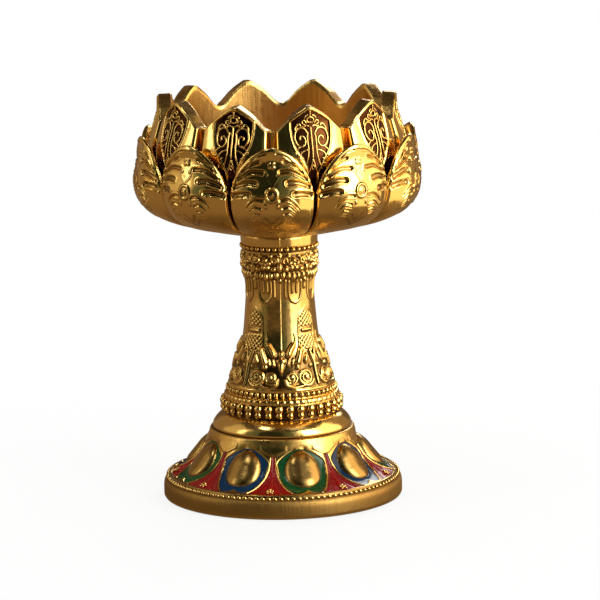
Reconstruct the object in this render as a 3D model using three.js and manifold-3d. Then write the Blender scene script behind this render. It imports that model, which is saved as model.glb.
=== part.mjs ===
// Altar candle holder: a lotus cup on a cast stem, standing on an enamelled petal foot.
// Millimetres, +Z up. The origin is the centre of the foot's flat bottom, and the front faces -Y.
import * as THREE from "three";
import { mergeVertices } from "three/addons/utils/BufferGeometryUtils.js";
import Module from "manifold-3d";

const wasm = await Module();
wasm.setup();

// Driving dimensions
const TOTAL_HEIGHT = 77;
const PETALS = 10;
const PETAL_PITCH = 360 / PETALS;
const FOOT_PETALS = 9;
const FOOT_PITCH = 360 / FOOT_PETALS;
const FOOT_TURN = 15.6;
const FOOT_RADIUS = 22.8;
const FOOT_RIM_HEIGHT = 3.4;
const FOOT_TOP = 13.4;
const STEM_FLANGE_RADIUS = 13.25;
const COLLAR_TOP = 50;
const COLLAR_RADIUS = 7.25;
const CUP_BASE = 51.2;
const CUP_FLOOR = 55.2;
const CUP_INNER_RADIUS = 19.6;
const SEAT_RADIUS = 9;
const CROWN_RADIUS = 22.4;
const CROWN_VALLEY = 72.5;
const ENAMEL_DEPTH = 0.55;
const ENAMEL_GAP = 0.1;
const CELL_HEADROOM = 1.2;

// The screw and what it passes through
const SCREW_RADIUS = 2;
const SCREW_LENGTH = 45;
const SCREW_HEAD_RADIUS = 3.9;
const SCREW_HEAD_HEIGHT = 3;
const SCREW_SLOT = { length: 4, width: 0.9, depth: 1.6 };
const THREAD_HOLE_RADIUS = 2.15;
const CLEARANCE_RADIUS = 2.3;
const BOSS_RADIUS = 3.4;
const BOSS_BOTTOM = 43.5;
const THREAD_TOP = 53;
const PLAIN_WASHER = { radius: 5, hole: 2.25, thickness: 0.8 };
const SPRING_WASHER = { radius: 3.8, hole: 2.25, thickness: 1, slot: 0.6 };
const FOOT_WEB_UNDERSIDE = 9.2;
const REGISTER_RADIUS = 8.2;
const REGISTER_TOP = 14.2;

// How finely the round pieces are divided
const STEM_SEGMENTS = 40;
const FOOT_SEGMENTS = 40;
const SMALL_SEGMENTS = 16;

const GOLD = { color: 0xc8962e, metalness: 1, roughness: 0.28 };
const SATIN_GOLD = { color: 0xb98a34, metalness: 1, roughness: 0.45 };
const STEEL = { color: 0xb8bcc0, metalness: 1, roughness: 0.35 };
const RED = { color: 0xc8141e, metalness: 0, roughness: 0.15 };
const BLUE = { color: 0x12307a, metalness: 0, roughness: 0.15 };
const GREEN = { color: 0x0f6a34, metalness: 0, roughness: 0.15 };

function radians(degrees) {
  return (degrees * Math.PI) / 180;
}

function pad(number) {
  return String(number).padStart(2, "0");
}

// A named piece with its own material
function piece(name, geometry, look) {
  const mesh = new THREE.Mesh(geometry, new THREE.MeshStandardMaterial(look));
  mesh.name = name;
  return mesh;
}

// Solid and mesh forms of the same closed surface, for cutting and joining
function solidOf(geometry) {
  const bare = geometry.clone();
  bare.deleteAttribute("normal");
  bare.deleteAttribute("uv");
  const merged = mergeVertices(bare);
  return new wasm.Manifold(
    new wasm.Mesh({
      numProp: 3,
      vertProperties: new Float32Array(merged.attributes.position.array),
      triVerts: new Uint32Array(merged.index.array),
    })
  );
}

function geometryOf(solid) {
  const mesh = solid.getMesh();
  const geometry = new THREE.BufferGeometry();
  geometry.setAttribute("position", new THREE.BufferAttribute(mesh.vertProperties, 3));
  geometry.setIndex(new THREE.BufferAttribute(mesh.triVerts, 1));
  return geometry;
}

// A solid turned around Z from [radius, height] pairs, listed so that the material is on the left
function turned(profile, segments) {
  const points = profile.map(([radius, height]) => new THREE.Vector2(radius, height));
  const geometry = new THREE.LatheGeometry(points, segments);
  geometry.rotateX(Math.PI / 2);
  return geometry;
}

// The same with an outline that closes on itself, for a piece with a hole along the axis
function turnedRing(profile, segments) {
  return turned([...profile, profile[0]], segments);
}

// A closed skin over rows of points. Each row goes once around, and both end rows shrink to a point
function skinOverRows(rows) {
  const around = rows[1].length;
  const positions = [];
  const starts = [];
  for (const row of rows) {
    starts.push(positions.length / 3);
    for (const point of row) {
      positions.push(...point);
    }
  }
  const index = [];
  const at = (row, column) => starts[row] + (rows[row].length === 1 ? 0 : column % around);
  for (let row = 0; row < rows.length - 1; row += 1) {
    for (let column = 0; column < around; column += 1) {
      const a = at(row, column);
      const b = at(row, column + 1);
      const c = at(row + 1, column + 1);
      const d = at(row + 1, column);
      if (a !== b) {
        index.push(a, b, c);
      }
      if (c !== d) {
        index.push(a, c, d);
      }
    }
  }
  const geometry = new THREE.BufferGeometry();
  geometry.setAttribute("position", new THREE.Float32BufferAttribute(positions, 3));
  geometry.setIndex(index);
  return geometry;
}

// A point at an azimuth counted from the front, positive towards +X
function around(radius, azimuth, height) {
  const angle = radians(azimuth);
  return [radius * Math.sin(angle), -radius * Math.cos(angle), height];
}

// Straight-line interpolation in a table of [x, y] pairs
function lookup(table, x) {
  const last = table.length - 1;
  if (x <= table[0][0]) {
    return table[0][1];
  }
  for (let i = 0; i < last; i += 1) {
    const [x0, y0] = table[i];
    const [x1, y1] = table[i + 1];
    if (x <= x1) {
      return y0 + ((y1 - y0) * (x - x0)) / (x1 - x0);
    }
  }
  return table[last][1];
}

// The cup's crown of inner petals, each as [angle from the petal's middle, value]. A petal's flanks
// fall back to a thin valley, and a chamfer joins its outer arch to the cup's inner rim
const CROWN_ANGLES = [-15, -9.5, -5, 0, 5, 9.5, 15, 18];
const CROWN_EDGE_RADIUS = [
  [0, CROWN_RADIUS],
  [5, CROWN_RADIUS],
  [9.5, 22.2],
  [15, 21.4],
  [18, 20.3],
];
const CROWN_OUTER_EDGE = [
  [0, TOTAL_HEIGHT - 0.3],
  [5, 75.9],
  [9.5, 74.6],
  [15, 72.7],
  [18, 72.2],
];
const CROWN_INNER_EDGE = [
  [0, TOTAL_HEIGHT],
  [5, 76.1],
  [9.5, 74.85],
  [15, 72.95],
  [18, CROWN_VALLEY],
];
const SHOULDER_HEIGHT = 67.3;
const SHOULDER_RADIUS = [
  [0, 24.3],
  [5, 24.2],
  [9.5, 23.8],
  [15, 22.2],
  [18, 20.3],
];
const WAIST_HEIGHT = 61.5;
const WAIST_RADIUS = [
  [0, 23.4],
  [5, 23.3],
  [9.5, 22.8],
  [15, 21.4],
  [18, 20.5],
];

function candleCup() {
  const below = [
    [THREAD_HOLE_RADIUS, THREAD_TOP],
    [THREAD_HOLE_RADIUS, BOSS_BOTTOM],
    [BOSS_RADIUS, BOSS_BOTTOM],
    [BOSS_RADIUS, CUP_BASE],
    [7.4, CUP_BASE],
    [11.4, 52.3],
    [15.2, 53.4],
    [18.6, 54.45],
    [20.6, 56.8],
  ];
  const inside = [
    [CUP_INNER_RADIUS, 66],
    [CUP_INNER_RADIUS - 0.2, CUP_FLOOR + 1.2],
    [CUP_INNER_RADIUS - 1.4, CUP_FLOOR],
    [SEAT_RADIUS, CUP_FLOOR],
  ];
  const azimuths = [];
  for (let petal = 0; petal < PETALS; petal += 1) {
    const middle = (petal + 0.5) * PETAL_PITCH;
    CROWN_ANGLES.forEach((angle) => azimuths.push([middle + angle, Math.abs(angle)]));
  }
  const plainRow = ([radius, height]) => azimuths.map(([azimuth]) => around(radius, azimuth, height));
  const petalRow = (radii, heights) =>
    azimuths.map(([azimuth, angle]) => around(lookup(radii, angle), azimuth, lookup(heights, angle)));
  const level = (height) => [[0, height]];
  return skinOverRows([
    [[0, 0, THREAD_TOP]],
    ...below.map(plainRow),
    petalRow(WAIST_RADIUS, level(WAIST_HEIGHT)),
    petalRow(SHOULDER_RADIUS, level(SHOULDER_HEIGHT)),
    petalRow(CROWN_EDGE_RADIUS, CROWN_OUTER_EDGE),
    petalRow(level(CUP_INNER_RADIUS), CROWN_INNER_EDGE),
    ...inside.map(plainRow),
    [[0, 0, CUP_FLOOR]],
  ]);
}

// One outer petal, from its clamped root to its flared tip: radius and height of the outer face at
// the petal's edges, half its angular width, and how much its middle bulges beyond the edges
const PETAL_THICKNESS = CUP_BASE - COLLAR_TOP;
const PETAL_ACROSS = 8;
const PETAL_ROUNDNESS = 3;
const PETAL_STATIONS = [
  { radius: 5.6, height: COLLAR_TOP, half: 15.6, bulge: 0 },
  { radius: 7.4, height: COLLAR_TOP, half: 16.2, bulge: 0 },
  { radius: 11.5, height: 50.9, half: 17.1, bulge: 0.1 },
  { radius: 15.5, height: 52, half: 17.2, bulge: 0.3 },
  { radius: 20, height: 53.4, half: 17.2, bulge: 0.9 },
  { radius: 22.9, height: 55.5, half: 17.2, bulge: 1.9 },
  { radius: 24.5, height: 58.2, half: 17.2, bulge: 2.55 },
  { radius: 25, height: 61.5, half: 17.1, bulge: 2.8 },
  { radius: 25.4, height: 64.4, half: 15.4, bulge: 1.75 },
  { radius: 25.7, height: 66.7, half: 11.6, bulge: 0.8 },
  { radius: 26.2, height: 68.6, half: 6, bulge: 0.25 },
  { radius: 27, height: 70, half: 0.8, bulge: 0 },
];

// The direction in (radius, height) from a station's outer face to its inner face
function petalInward(index) {
  const before = PETAL_STATIONS[Math.max(index - 1, 0)];
  const after = PETAL_STATIONS[Math.min(index + 1, PETAL_STATIONS.length - 1)];
  const run = after.radius - before.radius;
  const rise = after.height - before.height;
  const length = Math.hypot(run, rise);
  return index < 2 ? [0, 1] : [-rise / length, run / length];
}

function outerPetal(azimuth) {
  const rowOf = (station, index) => {
    const [inward, upward] = petalInward(index);
    const outer = [];
    const inner = [];
    for (let i = 0; i <= PETAL_ACROSS; i += 1) {
      const across = (2 * i) / PETAL_ACROSS - 1;
      const radius = station.radius + station.bulge * (1 - Math.abs(across) ** PETAL_ROUNDNESS);
      const angle = azimuth + across * station.half;
      const insideRadius = radius + PETAL_THICKNESS * inward;
      outer.push(around(radius, angle, station.height));
      inner.unshift(around(insideRadius, angle, station.height + PETAL_THICKNESS * upward));
    }
    return [...outer, ...inner];
  };
  const rows = PETAL_STATIONS.map(rowOf);
  const middleOf = (row) => {
    const sum = row.reduce((total, point) => total.map((value, axis) => value + point[axis]), [0, 0, 0]);
    return sum.map((value) => value / row.length);
  };
  return skinOverRows([[middleOf(rows[0])], ...rows, [middleOf(rows[rows.length - 1])]]);
}

// The stem: outside from the flange to the collar, then the cast hollow back down
function stem() {
  const outside = [
    [STEM_FLANGE_RADIUS, FOOT_TOP],
    [STEM_FLANGE_RADIUS, 13.9],
    [12.85, 14.7],
    [12.1, 15.5],
    [11.45, 16.1],
    [11.75, 16.6],
    [11.75, 18],
    [11.4, 19.1],
    [10.9, 19.7],
    [10.65, 20.2],
    [10.65, 21.4],
    [10, 21.8],
    [9.6, 22.8],
    [9, 24.6],
    [8.85, 26.6],
    [8.2, 28.4],
    [7.4, 29.8],
    [7.05, 31.8],
    [6.7, 36],
    [6.45, 39],
    [6.45, 41.4],
    [6.9, 43],
    [7.3, 45],
    [7.1, 47.3],
    [7.55, 47.8],
    [7.55, 48.4],
    [COLLAR_RADIUS, 48.7],
    [COLLAR_RADIUS, COLLAR_TOP],
  ];
  const hollow = [
    [BOSS_RADIUS + 0.3, COLLAR_TOP],
    [BOSS_RADIUS + 0.3, 38],
    [4.2, 32],
    [5.4, 26],
    [6.6, 21],
    [REGISTER_RADIUS + 0.25, 16],
    [REGISTER_RADIUS + 0.25, FOOT_TOP],
  ];
  return turnedRing([...outside, ...hollow], STEM_SEGMENTS);
}

// The skirt of the foot, from the rim's bead row up to the collar band
const SKIRT = [
  [21.6, 4.4],
  [19.3, 5.4],
  [16.9, 7.1],
  [15.5, 8.9],
  [14.6, 10.3],
  [14.1, 11.3],
];

// The same curve moved along its normal, out of the metal where the amount is positive
function skirtMoved(amount) {
  return SKIRT.map(([radius, height], index) => {
    const before = SKIRT[Math.max(index - 1, 0)];
    const after = SKIRT[Math.min(index + 1, SKIRT.length - 1)];
    const run = after[0] - before[0];
    const rise = after[1] - before[1];
    const length = Math.hypot(run, rise);
    return [radius + (amount * rise) / length, height - (amount * run) / length];
  });
}

// The ring of space between two moved copies of the skirt
function skirtLayer(lower, upper) {
  const profile = [...skirtMoved(upper), ...skirtMoved(lower).reverse()];
  return solidOf(turnedRing(profile, FOOT_SEGMENTS));
}

// Outline of a petal cell seen from above: distance to the side, and distance from the axis
const CELL_HALF = [
  [0, 20.2],
  [1.9, 20.95],
  [3.4, 19.5],
  [4.3, 17.4],
  [4.4, 15.6],
  [3.6, 14.6],
];
const CELL_TOP = [0, 14.3];
const OVAL = { middle: 17, across: 3.2, along: 2, points: 10 };
const DOME = { across: 3.05, along: 2.35, height: 1.2, middleHeight: 7.3, slope: Math.atan2(1.8, 2) };

// Outline of the red cell between two petals, in the same two distances
const RED_HALF = [
  [0, 21.3],
  [4.6, 20.7],
  [3, 19.6],
  [1.35, 17.6],
  [0.5, 15.7],
];

// An outline mirrored to the other side, drawn in by a distance, as a shape that faces the front
function mirrored(half, top, inset) {
  const right = half.map(([side, out]) => new THREE.Vector2(side, -out));
  if (top) {
    right.push(new THREE.Vector2(top[0], -top[1]));
  }
  const left = right.filter((point) => point.x > 0).map((point) => new THREE.Vector2(-point.x, point.y));
  const loop = [...right, ...left.reverse()];
  return loop.map((point, index) => {
    const before = loop[(index + loop.length - 1) % loop.length];
    const after = loop[(index + 1) % loop.length];
    const along = new THREE.Vector2().subVectors(after, before).normalize();
    return new THREE.Vector2(point.x - along.y * inset, point.y + along.x * inset);
  });
}

function ovalPoints(grow) {
  const curve = new THREE.EllipseCurve(0, -OVAL.middle, OVAL.across + grow, OVAL.along + grow);
  return curve.getPoints(OVAL.points).slice(0, OVAL.points);
}

// A tall upright prism over an outline, turned to an azimuth
function prism(outline, hole, azimuth) {
  const shape = new THREE.Shape(outline);
  if (hole) {
    shape.holes.push(new THREE.Path(hole));
  }
  const geometry = new THREE.ExtrudeGeometry(shape, { depth: FOOT_TOP, bevelEnabled: false });
  geometry.rotateZ(radians(azimuth));
  return solidOf(geometry);
}

// The gold dome inside a petal cell
function dome(azimuth) {
  const geometry = new THREE.SphereGeometry(1, 8, 6);
  geometry.rotateX(Math.PI / 2);
  geometry.scale(DOME.across, DOME.along, DOME.height);
  geometry.rotateX(DOME.slope);
  geometry.translate(0, -OVAL.middle, DOME.middleHeight);
  geometry.rotateZ(radians(azimuth));
  return solidOf(geometry);
}

function foot() {
  const outside = [
    [FOOT_RADIUS, 0],
    [FOOT_RADIUS, 0.8],
    [22.55, 1.6],
    [22.3, FOOT_RIM_HEIGHT],
    [22.2, 4],
    ...SKIRT,
    [13.75, 12.1],
    [13.4, FOOT_TOP],
    [REGISTER_RADIUS, FOOT_TOP],
    [REGISTER_RADIUS, REGISTER_TOP],
  ];
  const underside = [
    [CLEARANCE_RADIUS, REGISTER_TOP],
    [CLEARANCE_RADIUS, FOOT_WEB_UNDERSIDE],
    [11, FOOT_WEB_UNDERSIDE],
    [12.8, 7.8],
    [15, 5.4],
    [18, 3.6],
    [20.2, 2.4],
    [20.4, 0],
  ];
  let body = solidOf(turnedRing([...outside, ...underside], FOOT_SEGMENTS));
  const aboveFloor = skirtLayer(-ENAMEL_DEPTH, CELL_HEADROOM);
  for (let petal = 0; petal < FOOT_PETALS; petal += 1) {
    const middle = FOOT_TURN + petal * FOOT_PITCH;
    const cell = prism(mirrored(CELL_HALF, CELL_TOP, 0), ovalPoints(0), middle);
    const red = prism(mirrored(RED_HALF, null, 0), null, middle + FOOT_PITCH / 2);
    body = body.subtract(aboveFloor.intersect(cell)).subtract(aboveFloor.intersect(red));
    body = body.add(dome(middle));
  }
  return geometryOf(body);
}

// A fill that lies in its cell, a little below the gold around it
function enamel(outline, hole, azimuth) {
  const layer = skirtLayer(-ENAMEL_DEPTH + ENAMEL_GAP, -ENAMEL_GAP);
  return geometryOf(layer.intersect(prism(outline, hole, azimuth)));
}

// A flat ring between two heights
function flatRing(inner, outer, bottom, top, segments) {
  const profile = [
    [outer, bottom],
    [outer, top],
    [inner, top],
    [inner, bottom],
  ];
  return turnedRing(profile, segments);
}

function springWasher(bottom) {
  const { radius, hole, thickness, slot } = SPRING_WASHER;
  const ring = solidOf(flatRing(hole, radius, bottom, bottom + thickness, SMALL_SEGMENTS));
  const cut = new THREE.BoxGeometry(radius, slot, thickness * 3);
  cut.translate(radius, 0, bottom + thickness / 2);
  return geometryOf(ring.subtract(solidOf(cut)));
}

function tieScrew(headTop) {
  const headBottom = headTop - SCREW_HEAD_HEIGHT;
  const tip = headTop + SCREW_LENGTH;
  const profile = [
    [0, headBottom],
    [SCREW_HEAD_RADIUS - 1.2, headBottom],
    [SCREW_HEAD_RADIUS, headBottom + 1.2],
    [SCREW_HEAD_RADIUS, headTop],
    [SCREW_RADIUS, headTop],
    [SCREW_RADIUS, tip - 0.6],
    [SCREW_RADIUS - 0.6, tip],
    [0, tip],
  ];
  let screw = solidOf(turned(profile, SMALL_SEGMENTS));
  for (const turn of [0, Math.PI / 2]) {
    const slot = new THREE.BoxGeometry(SCREW_SLOT.length, SCREW_SLOT.width, 2 * SCREW_SLOT.depth);
    slot.rotateZ(turn);
    slot.translate(0, 0, headBottom);
    screw = screw.subtract(solidOf(slot));
  }
  return geometryOf(screw);
}

const holder = new THREE.Group();
holder.add(piece("foot", foot(), SATIN_GOLD));
holder.add(piece("stem", stem(), GOLD));
holder.add(piece("candle_cup", candleCup(), GOLD));
for (let petal = 0; petal < PETALS; petal += 1) {
  holder.add(piece(`outer_petal_${pad(petal + 1)}`, outerPetal(petal * PETAL_PITCH), GOLD));
}

// The colours alternate both ways from the green petal at the front right, so two green petals
// meet at the back
const counts = { green: 0, blue: 0, red: 0 };

function addFill(colour, outline, hole, azimuth, look) {
  counts[colour] += 1;
  holder.add(piece(`enamel_${colour}_${pad(counts[colour])}`, enamel(outline, hole, azimuth), look));
}

const farthest = (FOOT_PETALS - 1) / 2;
for (let step = -farthest; step <= farthest; step += 1) {
  const colour = step % 2 === 0 ? "green" : "blue";
  const middle = FOOT_TURN + step * FOOT_PITCH;
  const outline = mirrored(CELL_HALF, CELL_TOP, ENAMEL_GAP);
  addFill(colour, outline, ovalPoints(ENAMEL_GAP), middle, colour === "green" ? GREEN : BLUE);
  addFill("red", mirrored(RED_HALF, null, ENAMEL_GAP), null, middle + FOOT_PITCH / 2, RED);
}

const plainBottom = FOOT_WEB_UNDERSIDE - PLAIN_WASHER.thickness;
const springBottom = plainBottom - SPRING_WASHER.thickness;
const plainWasher = flatRing(
  PLAIN_WASHER.hole, PLAIN_WASHER.radius, plainBottom, FOOT_WEB_UNDERSIDE, SMALL_SEGMENTS
);
holder.add(piece("plain_washer", plainWasher, STEEL));
holder.add(piece("spring_washer", springWasher(springBottom), STEEL));
holder.add(piece("tie_screw", tieScrew(springBottom), STEEL));

export default holder;
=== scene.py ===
"""Altar candle holder: a gilt lotus cup on a cast stem, standing on an enamelled petal foot.

Lengths in this script are millimetres, and the mesh builder turns them into metres. Azimuths are
degrees counted from the front (-Y), positive towards +X. The mesh of every piece is in the shared frame.
"""
import math

import bpy
import numpy as np
from mathutils import Matrix, Vector


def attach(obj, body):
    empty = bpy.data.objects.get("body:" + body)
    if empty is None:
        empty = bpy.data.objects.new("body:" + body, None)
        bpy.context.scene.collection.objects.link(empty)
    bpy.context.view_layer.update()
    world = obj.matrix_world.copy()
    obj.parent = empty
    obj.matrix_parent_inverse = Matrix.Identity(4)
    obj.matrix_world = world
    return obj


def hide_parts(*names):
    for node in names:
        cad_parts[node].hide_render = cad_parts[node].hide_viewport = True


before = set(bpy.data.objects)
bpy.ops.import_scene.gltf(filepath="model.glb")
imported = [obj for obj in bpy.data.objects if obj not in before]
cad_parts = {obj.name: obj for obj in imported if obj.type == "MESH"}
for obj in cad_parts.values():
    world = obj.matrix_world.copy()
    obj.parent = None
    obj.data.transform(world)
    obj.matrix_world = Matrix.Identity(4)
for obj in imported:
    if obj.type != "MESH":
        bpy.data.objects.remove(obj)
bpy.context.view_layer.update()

MM = 0.001
PETALS = 10
PITCH = 360 / PETALS
FOOT_PETALS = 9
FOOT_PITCH = 360 / FOOT_PETALS
FOOT_TURN = 15.6


# Curves and fields
def smooth_line(points, count):
    """A smooth curve through the points, as count points spaced evenly along it."""
    p = np.array(points, float)
    ends = np.vstack([2 * p[0] - p[1], p, 2 * p[-1] - p[-2]])
    t = np.linspace(0, 1, 12, endpoint=False)[:, None]
    parts = []
    for a, b, c, d in zip(ends, ends[1:], ends[2:], ends[3:]):
        curve = 2 * b + (c - a) * t + (2 * a - 5 * b + 4 * c - d) * t**2 + (3 * b - a - 3 * c + d) * t**3
        parts.append(0.5 * curve)
    return resampled(np.vstack(parts + [p[-1:]]), count)


def resampled(line, count):
    """The same line as count points spaced evenly along it."""
    run = np.concatenate([[0], np.cumsum(np.linalg.norm(np.diff(line, axis=0), axis=1))])
    want = np.linspace(0, run[-1], count)
    return np.stack([np.interp(want, run, line[:, axis]) for axis in range(line.shape[1])], 1)


def rounded(points, spacing):
    """A profile with its corners cut round, as points no further apart than the spacing."""
    line = np.array(points, float)
    for _ in range(2):
        near = 0.75 * line[:-1] + 0.25 * line[1:]
        far = 0.25 * line[:-1] + 0.75 * line[1:]
        line = np.vstack([line[:1], np.stack([near, far], 1).reshape(-1, 2), line[-1:]])
    length = np.linalg.norm(np.diff(line, axis=0), axis=1).sum()
    return resampled(line, max(2, int(length / spacing) + 1))


def table(pairs, x):
    """Straight-line interpolation in a list of (x, y) pairs."""
    xs, ys = zip(*sorted(pairs))
    return np.interp(x, xs, ys)


def ease(x):
    """0 below 0, 1 above 1, and smooth between."""
    x = np.clip(x, 0, 1)
    return x * x * (3 - 2 * x)


def hump(x, middle, half):
    """1 at the middle, and round down to 0 at half to either side."""
    return np.clip(1 - ((x - middle) / half) ** 2, 0, 1)


def peak(x, middle, half):
    """1 at the middle, and straight down to 0 at half to either side."""
    return np.clip(1 - np.abs(x - middle) / half, 0, 1)


def span(x, low, high, rise, fall=None):
    """1 between low and high, reached over a length rise and left over a length fall."""
    return ease((x - low) / rise) * ease((high - x) / (fall or rise))


def on_axis(radius, azimuth, height):
    """Points at a radius, an azimuth and a height."""
    turn = np.radians(azimuth)
    return np.stack(np.broadcast_arrays(radius * np.sin(turn), -radius * np.cos(turn), height), -1)


def distance_to(u, v, line):
    """Distance from each (u, v) to a line of points, and how far along it the nearest one lies."""
    best = np.full(u.shape, 1e9)
    along = np.zeros(u.shape)
    steps = len(line) - 1
    for i in range(steps):
        a = line[i]
        d = line[i + 1] - a
        t = np.clip(((u - a[0]) * d[0] + (v - a[1]) * d[1]) / max(d @ d, 1e-12), 0, 1)
        gap = np.hypot(u - a[0] - t * d[0], v - a[1] - t * d[1])
        closer = gap < best
        best = np.where(closer, gap, best)
        along = np.where(closer, (i + t) / steps, along)
    return best, along


def is_inside(u, v, loop):
    """Whether each (u, v) lies inside a closed outline."""
    odd = np.zeros(u.shape, bool)
    for (u0, v0), (u1, v1) in zip(loop, np.roll(loop, -1, 0)):
        if v0 != v1:
            crosses = (v0 > v) != (v1 > v)
            odd ^= crosses & (u < u0 + (v - v0) * (u1 - u0) / (v1 - v0))
    return odd


# In mm: a bump's trench of painted shade, a scoop's border, and how high a ridge is where it rises clear of
# painted shade
BUMP_TRENCH = 0.2
SCOOP_RIM = 0.13
SCOOP_BORDER = 0.17
SHADE_CLEAR_RISE = 0.12


class Relief:
    """Cuts and rises, in mm, and darkness from 0 to 1 that paints shade in the recesses, over a field of
    points u across and v up.
    """

    def __init__(self, u, v):
        self.u = u
        self.v = v
        self.cut = np.zeros(u.shape)
        self.rise = np.zeros(u.shape)
        self.dark = np.zeros(u.shape)

    def _near(self, line, reach):
        low = line.min(0) - reach
        high = line.max(0) + reach
        near = (self.u > low[0]) & (self.u < high[0]) & (self.v > low[1]) & (self.v < high[1])
        return np.nonzero(near)

    def _lay(self, near, rise, shade):
        self.rise[near] = np.maximum(self.rise[near], rise)
        self.dark[near] = np.maximum(self.dark[near], shade)

    def shade(self, dark):
        """Darkens the whole field to at least the given values."""
        self.dark = np.maximum(self.dark, dark)

    def wire(self, points, width, height, tail=1.0, trench=0.25, count=24):
        """A rounded ridge of half-width width, which narrows to tail times that at its far end."""
        line = smooth_line(points, count)
        near = self._near(line, width + trench)
        gap, along = distance_to(self.u[near], self.v[near], line)
        half = width * (1 + (tail - 1) * along)
        ridge = height * hump(gap, 0, half) ** 1.3
        # Painted shade in a trench along both sides of the ridge
        self._lay(near, ridge, np.clip(1 - (gap - half) / trench, 0, 1) * (gap > 0.7 * half))

    def bump(self, centre, size, height):
        """A rounded boss with half-axes size."""
        near = self._near(np.array([centre]), max(size) + BUMP_TRENCH)
        rho = np.hypot((self.u[near] - centre[0]) / size[0], (self.v[near] - centre[1]) / size[1])
        # Painted shade in a ring around the boss
        shade = np.clip(1 - (rho - 1) * min(size) / BUMP_TRENCH, 0, 1) * (rho > 0.85)
        self._lay(near, height * np.sqrt(np.clip(1 - rho**2, 0, 1)), shade * 0.8)

    def scoop(self, points, width, tail, depth):
        """A rounded hollow with a raised border: width at the first point and tail at the last."""
        line = smooth_line(points, 20)
        near = self._near(line, max(width, tail) + 2 * SCOOP_BORDER)
        gap, along = distance_to(self.u[near], self.v[near], line)
        half = width + (tail - width) * along
        fade = ease((1 - along) / 0.25 + 0.15)
        hollow = depth * fade * hump(gap, 0, half) ** 0.8
        self.cut[near] = np.minimum(self.cut[near], -hollow)
        edge = SCOOP_RIM * fade * hump(gap, half, SCOOP_BORDER)
        # The border rises, and the hollow is darkened with painted shade
        self._lay(near, edge, 0.62 * np.clip(1.6 * (1 - (gap / half) ** 3), 0, 1) * fade)

    def darkness(self):
        """Recesses are darkened with painted shade, and the tops of ridges rise clear of it."""
        return np.clip(self.dark - self.rise / SHADE_CLEAR_RISE, 0, 1)


# Meshes
def grid_faces(rows, columns, closed=False):
    """Quads of a grid whose rows go up and whose columns go around, facing outward."""
    r, c = np.meshgrid(np.arange(rows - 1), np.arange(columns if closed else columns - 1), indexing="ij")
    after = (c + 1) % columns
    quads = [r * columns + c, r * columns + after, (r + 1) * columns + after, (r + 1) * columns + c]
    return np.stack(quads, -1).reshape(-1, 4)


class Shape:
    """Collects the points, tones and faces of one object."""

    def __init__(self):
        self.points = []
        self.tones = []
        self.faces = []
        self.count = 0

    def add(self, points, faces, dark, satin_and_shade):
        """Adds a closed skin. Its faces are a list of arrays, one for each number of corners."""
        self.points.append(points)
        self.tones.append(np.stack([dark, satin_and_shade], 1))
        self.faces.extend(group + self.count for group in faces)
        self.count += len(points)

    def made(self, name, material, slot, *nodes):
        """Makes the object, which rides on the body and stands for the given nodes."""
        points = np.vstack(self.points) * MM
        tones = np.vstack(self.tones)
        corners = np.concatenate([group.ravel() for group in self.faces])
        sizes = np.concatenate([np.full(len(group), group.shape[1]) for group in self.faces])
        mesh = bpy.data.meshes.new(name)
        mesh.vertices.add(len(points))
        mesh.vertices.foreach_set("co", points.ravel())
        mesh.loops.add(len(corners))
        mesh.loops.foreach_set("vertex_index", corners.astype(np.int32))
        mesh.polygons.add(len(sizes))
        mesh.polygons.foreach_set("loop_start", np.concatenate([[0], np.cumsum(sizes)[:-1]]).astype(np.int32))
        mesh.polygons.foreach_set("use_smooth", np.ones(len(sizes), bool))
        for index, label in enumerate(("dark", "satin_and_shade")):
            layer = mesh.attributes.new(label, "FLOAT", "POINT")
            layer.data.foreach_set("value", np.ascontiguousarray(tones[:, index]))
        mesh.update(calc_edges=True)
        mesh.validate()
        mesh.materials.append(material)
        made = bpy.data.objects.new(name, mesh)
        bpy.context.scene.collection.objects.link(made)
        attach(made, "root")
        if nodes:
            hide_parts(*nodes)


def add_shell(shape, outer, inner, step, dark, satin_and_shade):
    """A closed shell: a fine outer grid, a coarser inner one and a border that joins their edges."""
    rows, columns = outer.shape[:2]
    coarse = inner[::step, ::step]
    low_rows, low_columns = coarse.shape[:2]
    start = rows * columns
    under = grid_faces(low_rows, low_columns)[:, ::-1] + start
    joins = []
    for i in range(low_columns - 1):
        for row, low, turn in ((0, 0, 1), (rows - 1, low_rows - 1, -1)):
            fine = [row * columns + i * step + k for k in range(step + 1)]
            near = start + low * low_columns + i
            joins.append((fine[::-1] + [near, near + 1])[::turn])
    for i in range(low_rows - 1):
        for column, low, turn in ((0, 0, -1), (columns - 1, low_columns - 1, 1)):
            fine = [(i * step + k) * columns + column for k in range(step + 1)]
            near = start + i * low_columns + low
            joins.append((fine[::-1] + [near, near + low_columns])[::turn])
    points = np.vstack([outer.reshape(-1, 3), coarse.reshape(-1, 3)])
    extra = np.zeros(low_rows * low_columns)
    tone = np.concatenate([np.ravel(dark), extra])
    finish_and_shade = np.concatenate([np.ravel(satin_and_shade), extra + np.mean(satin_and_shade)])
    shape.add(points, [grid_faces(rows, columns), under, np.array(joins)], tone, finish_and_shade)


def spread(rows, tones):
    """A darkness and a satin value for each point, from a pair of values or of arrays for each row."""
    return [
        np.concatenate([np.broadcast_to(tone[kind], len(row)) for row, tone in zip(rows, tones)])
        for kind in (0, 1)
    ]


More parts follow.
